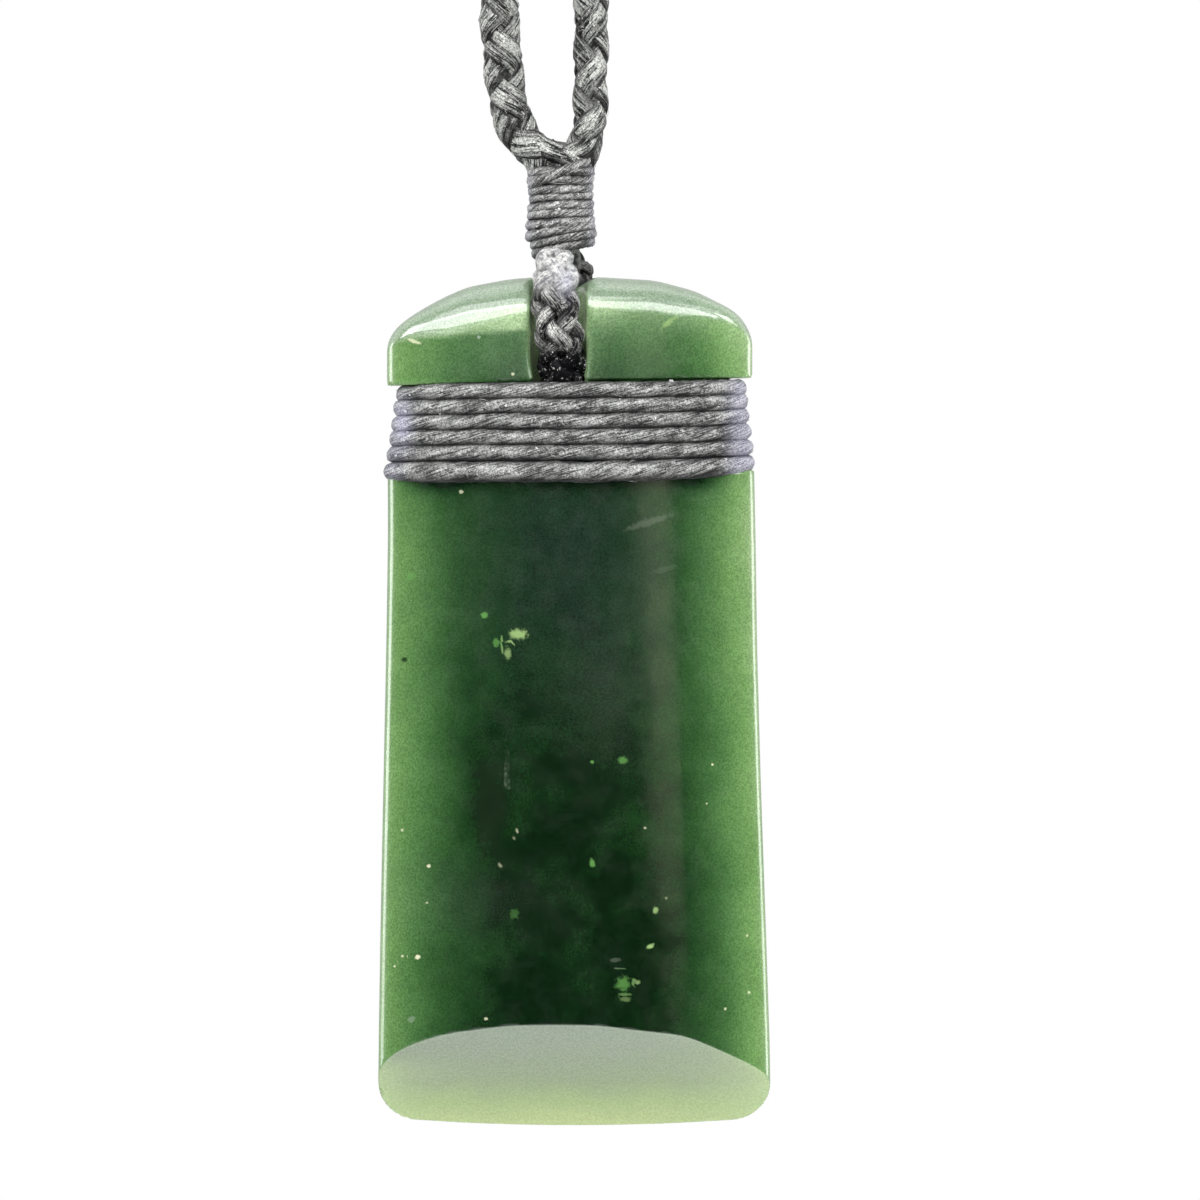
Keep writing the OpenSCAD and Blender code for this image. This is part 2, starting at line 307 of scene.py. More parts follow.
class Nodes:
    """Writes the nodes of one material."""

    def __init__(self, name: str) -> None:
        """Starts a material with one Principled shader.

        Args:
            name: name of the material.
        """
        self.material = bpy.data.materials.new(name)
        self.material.use_nodes = True
        self.tree = self.material.node_tree
        self.shader = self.tree.nodes["Principled BSDF"]

    def add(self, kind: str, **settings: object) -> bpy.types.Node:
        """Adds a node.

        Args:
            kind: Blender's name of the node, without its ShaderNode prefix.
            settings: properties of the node.

        Returns:
            The new node.
        """
        node = self.tree.nodes.new("ShaderNode" + kind)
        for key, setting in settings.items():
            setattr(node, key, setting)
        return node

    def feed(self, target: bpy.types.NodeSocket, source: object) -> None:
        """Links a socket to a socket, or sets it to a plain value."""
        if isinstance(source, bpy.types.NodeSocket):
            self.tree.links.new(source, target)
        else:
            target.default_value = source

    def value(self, name: str) -> bpy.types.NodeSocket:
        """Reads a named number of the mesh."""
        return self.add("Attribute", attribute_name=name).outputs["Fac"]

    def vector(self, name: str) -> bpy.types.NodeSocket:
        """Reads a named vector of the mesh."""
        return self.add("Attribute", attribute_name=name).outputs["Vector"]

    def place(self) -> bpy.types.NodeSocket:
        """Gives the place on the object, in metres."""
        return self.add("TexCoord").outputs["Object"]

    def noise(self, at: object, scale: float, detail: float = 3.0,
              rough: float = 0.55) -> bpy.types.NodeSocket:
        """Adds cloudy noise.

        Args:
            at: coordinates that it reads.
            scale: cells for each unit of the coordinates.
            detail: octaves.
            rough: strength of the finer octaves.

        Returns:
            Noise from 0 to 1.
        """
        node = self.add("TexNoise")
        self.feed(node.inputs["Vector"], at)
        node.inputs["Scale"].default_value = scale
        node.inputs["Detail"].default_value = detail
        node.inputs["Roughness"].default_value = rough
        return node.outputs["Fac"]

    def maths(self, operation: str, a: object, b: object = 0.0, clamp: bool = False) -> bpy.types.NodeSocket:
        """Adds one arithmetic step.

        Args:
            operation: Blender's name of the operation.
            a: first operand.
            b: second operand.
            clamp: keeps the result between 0 and 1.

        Returns:
            The result.
        """
        node = self.add("Math", operation=operation, use_clamp=clamp)
        self.feed(node.inputs[0], a)
        self.feed(node.inputs[1], b)
        return node.outputs[0]

    def swing(self, source: object, reach: object) -> bpy.types.NodeSocket:
        """Turns noise from 0 to 1 into a swing about zero.

        Args:
            source: the noise.
            reach: size of the swing from its lowest to its highest.

        Returns:
            The swing.
        """
        return self.maths("MULTIPLY", self.maths("SUBTRACT", source, 0.5), reach)

    def weighted(self, *parts: tuple[object, float]) -> bpy.types.NodeSocket:
        """Adds up values, each times its weight.

        Args:
            parts: pairs of a value and its weight.

        Returns:
            The sum.
        """
        total, *others = [self.maths("MULTIPLY", source, weight) for source, weight in parts]
        for term in others:
            total = self.maths("ADD", total, term)
        return total

    def spread(self, source: object, low: float, high: float, to_low: float = 0.0,
               to_high: float = 1.0) -> bpy.types.NodeSocket:
        """Maps a range of values smoothly to another.

        Args:
            source: value to map.
            low: value that becomes to_low.
            high: value that becomes to_high.
            to_low: result at the low end.
            to_high: result at the high end.

        Returns:
            The mapped value.
        """
        node = self.add("MapRange", interpolation_type="SMOOTHSTEP")
        for i, number in enumerate((source, low, high, to_low, to_high)):
            self.feed(node.inputs[i], number)
        return node.outputs[0]

    def ramp(self, source: object, stops: list[tuple[float, Colour]]) -> bpy.types.NodeSocket:
        """Adds a colour ramp.

        Args:
            source: place along the ramp.
            stops: place and linear colour of each stop.

        Returns:
            The colour.
        """
        node = self.add("ValToRGB")
        self.feed(node.inputs["Fac"], source)
        elements = node.color_ramp.elements
        while len(elements) < len(stops):
            elements.new(0.5)
        for element, (where, colour) in zip(elements, stops):
            element.position = where
            element.color = (*colour, 1.0)
        return node.outputs["Color"]

    def mix(self, share: object, a: object, b: object, blend: str = "MIX") -> bpy.types.NodeSocket:
        """Mixes two colours.

        Args:
            share: share of the second colour.
            a: first colour.
            b: second colour.
            blend: Blender's name of the way they mix.

        Returns:
            The mixed colour.
        """
        node = self.add("Mix", data_type="RGBA", blend_type=blend)
        self.feed(node.inputs["Factor"], share)
        self.feed(node.inputs[6], (*a, 1.0) if isinstance(a, tuple) else a)
        self.feed(node.inputs[7], (*b, 1.0) if isinstance(b, tuple) else b)
        return node.outputs[2]

    def bump(self, height: object, strength: float, distance: float) -> bpy.types.NodeSocket:
        """Turns a height into a bent normal.

        Args:
            height: height of the relief.
            strength: how strongly it bends the normal.
            distance: height of the relief in metres.

        Returns:
            The normal.
        """
        node = self.add("Bump")
        self.feed(node.inputs["Height"], height)
        node.inputs["Strength"].default_value = strength
        node.inputs["Distance"].default_value = distance
        return node.outputs["Normal"]


@dataclass(frozen=True)
class PolishedGreenstone:
    """Finish of the blade: dark in the middle, bright green where light comes through it."""

    tone_stops: tuple[tuple[float, Colour], ...] = (
        (0.00, (0.0022, 0.0155, 0.0036)), (0.075, (0.0125, 0.052, 0.0130)), (0.21, (0.040, 0.118, 0.032)),
        (0.335, (0.070, 0.180, 0.052)), (0.50, (0.118, 0.258, 0.078)), (0.67, (0.170, 0.340, 0.106)),
        (0.835, (0.240, 0.420, 0.155)), (1.00, (0.330, 0.500, 0.225)))
    # bevel colours by height: painted light through the thin cutting edge low down, then a pale ground
    # finish with painted reflection of the floor
    bevel_stops: tuple[tuple[float, Colour], ...] = (
        (0.00, (0.53, 0.64, 0.30)), (0.20, (0.40, 0.53, 0.245)), (0.42, (0.325, 0.41, 0.25)),
        (0.62, (0.325, 0.395, 0.28)), (0.85, (0.335, 0.40, 0.315)), (1.00, (0.30, 0.365, 0.29)))
    cool: Colour = (0.014, 0.034, 0.021)
    # painted grey reflection above the head's ridge, and faint grey clouds
    mist_and_reflection: Colour = (0.36, 0.44, 0.35)
    # painted light under the head's ridge and on the channel walls
    painted_light_pool: Colour = (0.56, 0.76, 0.43)
    haze: Colour = (0.035, 0.095, 0.042)
    # painted light coming through the thin sides of the bevel
    rim: Colour = (0.56, 0.72, 0.38)
    dot: Colour = (0.62, 0.72, 0.42)
    felt_dark: Colour = (0.72, 0.74, 0.72)
    felt_light: Colour = (1.30, 1.27, 1.30)
    bevel_span: float = 6.4
    bevel_roughness: float = 0.12
    roughness: float = 0.1
    refraction: float = 1.61
    scatter: float = 0.12
    scatter_reach: tuple[float, float, float] = (0.5, 1.0, 0.4)

    def material(self) -> bpy.types.Material:
        """Writes the material.

        Returns:
            The stone's material.
        """
        n = Nodes("polished_greenstone")
        place = n.place()
        cloud = n.noise(place, 300.0, 5.0, 0.6)
        grain = n.noise(place, 8500.0, 3.0, 0.8)
        depth = n.maths("ADD", n.maths("MULTIPLY", n.value("glow"), 0.30), 0.20)
        tone = n.maths("ADD", n.value("glow"), n.swing(cloud, depth), clamp=True)
        colour = n.ramp(tone, list(self.tone_stops))
        colour = n.mix(n.maths("MULTIPLY", n.value("cool"), 0.8), colour, self.cool)
        # painted reflection: grey over the slope above the head's ridge; fainter grey clouds elsewhere
        colour = n.mix(n.value("mist_and_reflection"), colour, self.mist_and_reflection)
        haze = n.spread(n.noise(place, 520.0, 6.0, 0.66), 0.54, 0.76, 0.0, 0.14)
        colour = n.mix(haze, colour, self.haze)
        # painted light: the pale band under the head's ridge and the lit walls of the channels
        colour = n.mix(n.value("painted_light_pool"), colour, self.painted_light_pool)
        bevel = n.spread(n.value("bevel_side"), -0.08, -0.01)
        height = n.maths("ADD", n.maths("DIVIDE", n.value("height"), self.bevel_span),
                         n.swing(cloud, 0.25), clamp=True)
        # the bevel's ramp: bright yellow-green at the thin cutting edge is painted light coming through; the
        # pale grey-green higher up is partly its ground finish and partly painted reflection of the pale
        # floor below
        ground = n.ramp(height, list(self.bevel_stops))
        # painted light: paler and yellower near the sides, where light comes through the thin stone
        ground = n.mix(n.maths("MULTIPLY", n.value("side_rim"), 0.85), ground, self.rim)
        colour = n.mix(bevel, colour, ground)
        felt = n.mix(n.spread(grain, 0.36, 0.64), self.felt_dark, self.felt_light)
        colour = n.mix(n.spread(bevel, 0.0, 1.0, 1.0, 0.45), colour, felt, "MULTIPLY")
        colour = self.flecks(n, place, colour)
        n.feed(n.shader.inputs["Base Color"], colour)
        polish = n.spread(n.noise(place, 900.0, 3.0), 0.3, 0.7, self.roughness - 0.03, self.roughness + 0.05)
        polish = n.maths("ADD", polish, n.maths("MULTIPLY", bevel, self.bevel_roughness))
        n.feed(n.shader.inputs["Roughness"], polish)
        n.shader.inputs["IOR"].default_value = self.refraction
        n.shader.inputs["Subsurface Weight"].default_value = self.scatter
        n.shader.inputs["Subsurface Radius"].default_value = self.scatter_reach
        n.shader.inputs["Subsurface Scale"].default_value = MM
        wave = n.noise(place, 120.0, 2.0, 0.4)
        n.feed(n.shader.inputs["Normal"], n.bump(wave, 0.10, 0.0006))
        return n.material

    def flecks(self, n: Nodes, place: bpy.types.NodeSocket,
               colour: bpy.types.NodeSocket) -> bpy.types.NodeSocket:
        """Lays the inclusions, painted highlights, painted reflections and painted shade over the stone's
        colour.

        Args:
            n: the material being written.
            place: place on the object.
            colour: colour of the clean stone.

        Returns:
            The colour with its flecks.
        """
        wobble = n.noise(place, 3600.0, 4.0, 0.75)
        reach = n.add("VectorMath", operation="LENGTH")
        n.feed(reach.inputs[0], n.vector("fleck_at"))
        edge = n.maths("ADD", reach.outputs["Value"], n.swing(wobble, 2.0))
        mask = n.maths("MULTIPLY", n.spread(edge, 0.45, 1.15, 1.0, 0.0), n.value("fleck_strength"))
        tint = n.add("Attribute", attribute_name="fleck_tint").outputs["Color"]
        colour = n.mix(mask, colour, tint)
        cells = n.add("TexVoronoi", feature="F1")
        n.feed(cells.inputs["Vector"], place)
        cells.inputs["Scale"].default_value = 480.0
        chosen = n.add("SeparateColor")
        n.feed(chosen.inputs[0], cells.outputs["Color"])
        dot = n.maths("MULTIPLY", n.spread(cells.outputs["Distance"], 0.02, 0.055, 1.0, 0.0),
                      n.spread(chosen.outputs[0], 0.86, 0.98))
        return n.mix(n.maths("MULTIPLY", dot, 0.55), colour, self.dot)


@dataclass(frozen=True)
class WaxedYarn:
    """Finish of a waxed cord: fine twisted fibres and pale crumbs of wax, with painted shade in the grooves,
    on the undersides and where cords meet.
    """

    name: str
    dark: Colour
    light: Colour
    crumb: Colour
    crumbs: float
    roughness: float
    sheen: float
    groove_shade_strength: float = 0.9
    sparkle: float = 0.16
    softness: float = 0.055
    gloss: float = 0.20
    balance: float = 0.0
    fibre_relief: float = 0.00003
    groove_shade_colour: Colour = (0.006, 0.006, 0.007)
    darkening_colour: Colour = (0.002, 0.002, 0.003)
    thin_wax: Colour = (0.26, 0.26, 0.28)
    lilac_dark: Colour = (0.24, 0.24, 0.33)
    lilac_light: Colour = (0.80, 0.78, 0.94)
    fuzz_dark: Colour = (0.42, 0.42, 0.42)
    fuzz_light: Colour = (1.65, 1.65, 1.65)
    sheen_tint: Colour = (0.9, 0.9, 1.0)

    def material(self) -> bpy.types.Material:
        """Writes the material.

        Returns:
            The cord's material.
        """
        n = Nodes(self.name)
        place = n.place()
        grain = n.vector("grain")
        stretched = n.add("VectorMath", operation="MULTIPLY")
        n.feed(stretched.inputs[0], grain)
        stretched.inputs[1].default_value = (2.4, 2.4, 0.9)
        fibre = n.noise(grain, 1.0, 4.0, 0.65)
        hair = n.noise(stretched.outputs[0], 1.0, 3.0, 0.7)
        clump = n.noise(grain, 0.32, 2.0, 0.5)
        spark = n.noise(place, 9500.0, 2.0, 0.7)
        patch = n.noise(place, 650.0, 3.0, 0.6)
        streak = n.weighted((fibre, 0.46), (clump, 0.14), (hair, 0.40))
        streak = n.maths("ADD", streak, n.swing(patch, 0.25))
        streak = n.maths("ADD", streak, n.swing(spark, self.sparkle))
        middle = 0.5 - self.balance
        strand = n.spread(streak, middle - self.softness, middle + self.softness)
        colour = n.mix(strand, self.dark, self.light)
        fuzz = n.spread(n.noise(place, 8000.0, 3.0, 0.8), 0.36, 0.64)
        colour = n.mix(1.0, colour, n.mix(fuzz, self.fuzz_dark, self.fuzz_light), "MULTIPLY")
        # painted shade: darker in the ply valleys, where cords meet their neighbours and on their undersides
        groove = n.maths("MULTIPLY", n.value("groove"), self.groove_shade_strength, clamp=True)
        colour = n.mix(groove, colour, self.groove_shade_colour)
        wax = n.maths("ADD", n.noise(place, 3200.0, 4.0, 0.75), n.maths("MULTIPLY", hair, 0.35))
        wax = n.mix(n.spread(wax, 0.56, 0.78), self.thin_wax, self.crumb)
        # pale wax; on the top of the bail it is also painted highlight
        colour = n.mix(n.value("worn"), colour, wax)
        # painted shade where the darkening value is set: near black, with rare light specks as painted
        # glints
        glint = n.maths("ADD", n.noise(place, 4200.0, 3.0, 0.7), n.maths("MULTIPLY", hair, 0.3))
        darkening = n.mix(n.spread(glint, 0.80, 0.85), self.darkening_colour, self.light)
        colour = n.mix(n.value("darkening"), colour, darkening)
        speck = n.spread(n.noise(place, 4600.0, 3.0, 0.7), 0.58, 0.66)
        speck = n.maths("MULTIPLY", speck, n.spread(n.noise(place, 900.0, 2.0), 0.40, 0.65))
        open_share = n.maths("SUBTRACT", self.crumbs, n.maths("MULTIPLY", groove, self.crumbs))
        colour = n.mix(n.maths("MULTIPLY", speck, open_share), colour, self.crumb)
        blotch = n.spread(n.weighted((fibre, 0.5), (spark, 0.5)), 0.40, 0.60)
        # lilac tint; toward the ends of the lashing and the sides of the whipping it is painted sheen
        colour = n.mix(n.value("lilac"), colour, n.mix(blotch, self.lilac_dark, self.lilac_light))
        n.feed(n.shader.inputs["Base Color"], colour)
        rough = n.spread(streak, 0.3, 0.7, self.roughness + 0.15, self.roughness - 0.1)
        n.feed(n.shader.inputs["Roughness"], rough)
        n.shader.inputs["Specular IOR Level"].default_value = self.gloss
        n.shader.inputs["Sheen Weight"].default_value = self.sheen
        n.shader.inputs["Sheen Roughness"].default_value = 0.4
        n.shader.inputs["Sheen Tint"].default_value = (*self.sheen_tint, 1.0)
        relief = n.weighted((fibre, 0.6), (hair, 0.4))
        n.feed(n.shader.inputs["Normal"], n.bump(relief, 0.8, self.fibre_relief))
        return n.material


@dataclass(frozen=True)
class Yarn:
    """Section and twist of a cord, sizes in mm."""

    radial: float
    sideways: float
    plies: int
    lay: float
    direction: Lay
    groove: float
    sides: int
    relief: float = 0.012
    fibre: float = 9.0
    stretch: float = 0.9
    fibre_turn: float = 0.0
    # painted shade: how sharply the sides darken where cords meet, how dark the ply valleys get and how dark
    # the underside gets
    meet_power: float = 3.0
    ply_dark: float = 0.9
    underside: float = 0.0
    fullness: float = 2.0

    @staticmethod
    def axes(path: Array, outward: Array) -> tuple[Array, Array]:
        """Gives the directions outward and sideways along a path.

        Args:
            path: rows of points.
            outward: for each point, about the direction away from what the cord lies on.

        Returns:
            The direction outward and the direction sideways, both square to the path.
        """
        tangent = unit(np.gradient(path, axis=0))
        normal = unit(outward - np.sum(outward * tangent, axis=1, keepdims=True) * tangent)
        return normal, np.cross(tangent, normal)

    def hairs(self, path: Array, outward: Array, seed: int, count: int,
              thickness: Array) -> list[Skin]:
        """Lays fine loose fibres on the cord.

        Args:
            path: rows of points in mm.
            outward: for each point, the direction away from what the cord lies on.
            seed: start of the random places.
            count: number of fibres.
            thickness: for each point, its share of the full section.

        Returns:
            One skin for each fibre.
        """
        draw = np.random.default_rng(seed)
        normal, across = self.axes(path, outward)
        step = arc_length(path)[-1] / (len(path) - 1)
        fibre = Yarn(radial=0.014, sideways=0.014, plies=1, lay=50.0, direction=Lay.RIGHT, groove=0.0,
                     sides=4, relief=0.0)
        taper = np.array([0.4, 0.9, 1, 1, 1, 0.9, 0.4])
        knots = len(taper)
        skins = []
        for number in range(count):
            span = int(draw.uniform(0.35, 1.1) / step)
            start = draw.integers(0, max(1, len(path) - span - 1))
            rows = np.linspace(start, min(start + span, len(path) - 1), knots)
            turn = draw.normal(0, 0.75) + np.linspace(0, draw.normal(0, 0.45), knots)
            i = rows.astype(int)
            out = normal[i] * np.cos(turn)[:, None] + across[i] * np.sin(turn)[:, None]
            arch = draw.uniform(0.0, 0.10) * np.sin(np.linspace(0, math.pi, knots))
            lift = 1.03 + arch + 0.02 * draw.normal(size=knots)
            reach = (normal[i] * (self.radial * np.cos(turn))[:, None]
                     + across[i] * (self.sideways * np.sin(turn))[:, None])
            line = path[i] + reach * (thickness[i] * lift)[:, None]
            line = line + draw.normal(0, 0.005, (knots, 3))
            skin = fibre.loft(line, out, number, taper)
            skin.values["worn"] = np.full(len(skin.points), draw.uniform(0.4, 0.9))
            skins.append(skin)
        return skins

    def loft(self, path: Array, outward: Array, seed: int, thickness: Array, crowd: float = 0.0) -> Skin:
        """Builds the cord along a path.

        Args:
            path: rows of points in mm.
            outward: for each point, the direction away from what the cord lies on.
            seed: start of the random relief.
            thickness: for each point, its share of the full section.
            crowd: how much painted shade the cord gets where it meets its neighbours sideways.

        Returns:
            The cord's skin, with the values that its finish reads.
        """
        draw = np.random.default_rng(seed)
        run = arc_length(path)
        normal, across = self.axes(path, outward)
        around = np.linspace(0, 2 * math.pi, self.sides, endpoint=False)[None, :]
        twist = self.direction.value * 2 * math.pi * run[:, None] / self.lay
        ply = around + twist
        valley = 1.0 - np.abs(np.cos(self.plies * ply / 2)) ** 0.6
        size = 1.0 - self.groove * valley
        for _ in range(6):
            wave = draw.integers(2, 9) * ply + run[:, None] * draw.uniform(-7, 7) + draw.uniform(0, 7)
            size = size + self.relief * draw.uniform(0.4, 1.0) * np.sin(wave)
        size = size * thickness[:, None]
        rise = np.sign(np.cos(around)) * np.abs(np.cos(around)) ** (2 / self.fullness)
        reach = np.sign(np.sin(around)) * np.abs(np.sin(around)) ** (2 / self.fullness)
        points = (path[:, None] + normal[:, None] * (self.radial * size * rise)[..., None]
                  + across[:, None] * (self.sideways * size * reach)[..., None])
        fibre = ply + self.fibre_turn * run[:, None]
        seed_gap = 3.7
        along = np.broadcast_to(run[:, None] * self.stretch, ply.shape) + seed * seed_gap
        grain = np.stack([self.fibre * self.radial * np.cos(fibre),
                          self.fibre * self.radial * np.sin(fibre), along], axis=-1)
        # painted shade, read by the finish as 'groove': darker in the ply valleys, at the sides where the
        # cord meets its neighbours, and on its underside
        meet = np.abs(np.sin(around)) ** self.meet_power * crowd + np.zeros_like(ply)
        down = -(normal[:, 2:] * np.cos(around) + across[:, 2:] * np.sin(around))
        dark = np.clip(valley * self.ply_dark + meet + self.underside * ease(down, -0.35, 0.9), 0, 1)
        values = {"grain": grain.reshape(-1, 3), "groove": dark.ravel()}
        values.update({name: np.zeros(ply.size) for name in ("worn", "darkening", "lilac")})
        return Skin(points.reshape(-1, 3), ring_faces(*ply.shape), values)


@dataclass(frozen=True)
class Braid:
    """A round braid of flattened cords, half of them going each way round, sizes in mm."""

    pitch: float
    ring: float
    weave: float
    starts: tuple[float, ...] = (90.0, -90.0, 0.0, 180.0)
    turns: tuple[int, ...] = (1, 1, -1, -1)
    waves: int = 2

    def strand(self, k: int, centre: Array, side: Array, turned: Array, squeeze: Array,
               shift: float = 0.0) -> tuple[Array, Array]:
        """Gives the path of one strand.

        Args:
            k: number of the strand, from 0.
            centre: rows of points along the braid's middle.
            side: direction from which the angle about the middle is counted.
            turned: for each point, how far the whole braid is turned, in degrees.
            squeeze: for each point, the share of the braid's full radius.
            shift: distance that the crossings are moved along the braid.

        Returns:
            The strand's points, and for each point the direction away from the middle.
        """
        run = arc_length(centre) + shift
        tangent = unit(np.gradient(centre, axis=0))
        first = unit(side - np.sum(side * tangent, axis=1, keepdims=True) * tangent)
        second = np.cross(tangent, first)
        way = self.turns[k]
        angle = np.radians(self.starts[k] + turned) + way * 2 * math.pi * run / self.pitch
        wave = self.waves * (angle - np.radians(90.0 / self.waves + turned))
        radius = (self.ring + way * self.weave * np.cos(wave)) * squeeze
        outward = first * np.cos(angle)[:, None] + second * np.sin(angle)[:, None]
        return centre + outward * radius[:, None], outward


class Tint(Enum):
    """Linear colours of the inclusions in the stone, and of the few painted highlights, painted reflections
    and painted shade among them.
    """

    MOSS = (0.16, 0.42, 0.10)
    PALE = (0.38, 0.58, 0.22)
    MILK = (0.40, 0.48, 0.38)
    CREAM = (0.80, 0.82, 0.55)
    NIGHT = (0.008, 0.02, 0.008)


@dataclass(frozen=True)
class Fleck:
    """One fleck in the stone, most of them inclusions, a few painted highlights, painted reflections and
    painted shade: its place to the right and above the cutting edge, half width and half height.
    """

    x: float
    h: float
    wide: float
    tall: float
    tint: Tint
    strength: float
    lean: float = 0.0


FLECKS = [
    Fleck(-2.6, 29.0, 0.60, 0.34, Tint.PALE, 0.8), Fleck(-3.2, 27.9, 0.24, 0.40, Tint.PALE, 0.55),
    Fleck(-4.6, 30.1, 0.24, 0.18, Tint.MOSS, 0.7), Fleck(-3.9, 28.5, 0.22, 0.30, Tint.MOSS, 0.5),
    Fleck(3.55, 21.6, 0.32, 0.24, Tint.MOSS, 0.55), Fleck(1.75, 21.5, 0.12, 0.12, Tint.MOSS, 0.6),
    Fleck(1.75, 15.6, 0.18, 0.30, Tint.MOSS, 0.7), Fleck(5.45, 12.8, 0.18, 0.24, Tint.PALE, 0.7),
    Fleck(5.15, 10.7, 0.28, 0.16, Tint.PALE, 0.85, 0.4), Fleck(3.1, 9.9, 0.34, 0.15, Tint.MILK, 0.14),
    Fleck(3.55, 8.5, 0.48, 0.46, Tint.MOSS, 0.5), Fleck(4.4, 8.6, 0.16, 0.18, Tint.PALE, 0.5),
    Fleck(3.7, 7.6, 0.34, 0.16, Tint.PALE, 0.28), Fleck(-2.8, 12.6, 0.3, 0.34, Tint.MOSS, 0.22),
    Fleck(-8.9, 6.4, 0.24, 0.24, Tint.MILK, 0.35), Fleck(-8.9, 32.4, 0.3, 0.3, Tint.MOSS, 0.4),
    Fleck(8.8, 21.35, 0.09, 0.09, Tint.CREAM, 1.0), Fleck(8.45, 19.05, 0.07, 0.07, Tint.CREAM, 0.7),
    Fleck(-2.85, 16.95, 0.1, 0.1, Tint.CREAM, 0.8), Fleck(-2.6, 17.4, 0.07, 0.07, Tint.CREAM, 0.6),
    Fleck(4.85, 17.65, 0.1, 0.08, Tint.CREAM, 0.6), Fleck(-7.85, 15.4, 0.13, 0.12, Tint.CREAM, 0.9),
    Fleck(-3.7, 15.5, 0.1, 0.1, Tint.CREAM, 0.5), Fleck(-8.5, 10.05, 0.17, 0.14, Tint.CREAM, 1.0),
    Fleck(-9.4, 10.1, 0.1, 0.1, Tint.CREAM, 0.8), Fleck(-9.85, 9.5, 0.08, 0.08, Tint.CREAM, 0.8),
    Fleck(-9.4, 17.5, 0.1, 0.1, Tint.CREAM, 0.7), Fleck(-7.95, 13.25, 0.1, 0.08, Tint.CREAM, 0.6),
    Fleck(10.95, 7.95, 0.1, 0.1, Tint.CREAM, 0.8), Fleck(9.55, 7.0, 0.1, 0.1, Tint.CREAM, 0.8),
    Fleck(-4.5, 6.45, 0.12, 0.1, Tint.CREAM, 0.7), Fleck(10.85, 11.3, 0.08, 0.08, Tint.CREAM, 0.7),
    Fleck(-5.95, 37.35, 0.14, 0.12, Tint.CREAM, 0.6), Fleck(-9.3, 27.5, 0.22, 0.16, Tint.NIGHT, 0.9),
    Fleck(0.9, 14.2, 0.4, 0.4, Tint.NIGHT, 0.5), Fleck(6.25, 47.3, 0.5, 0.24, Tint.PALE, 0.6, 0.7),
    Fleck(-2.9, 44.25, 0.12, 0.1, Tint.CREAM, 0.8), Fleck(-4.9, 46.4, 0.14, 0.12, Tint.MILK, 0.8),
    # painted highlight: a short bright stroke at the left end of the head's ridge
    Fleck(-8.75, 46.2, 0.46, 0.12, Tint.CREAM, 0.85, -0.35),
    # painted reflection: a long faint pale stroke across the front, rising to the right
    Fleck(5.0, 35.55, 1.5, 0.26, Tint.MILK, 0.13, 0.32),
    # painted reflection: a thin upright pale streak on the left, and a fainter stroke like the one above
    Fleck(-3.3, 21.0, 0.08, 2.4, Tint.MILK, 0.05), Fleck(6.0, 32.8, 0.9, 0.2, Tint.MILK, 0.06, 0.25),
    # painted shade: a broad upright darker zone on the left of the front
    Fleck(-4.3, 19.0, 1.2, 3.2, Tint.NIGHT, 0.8),
]


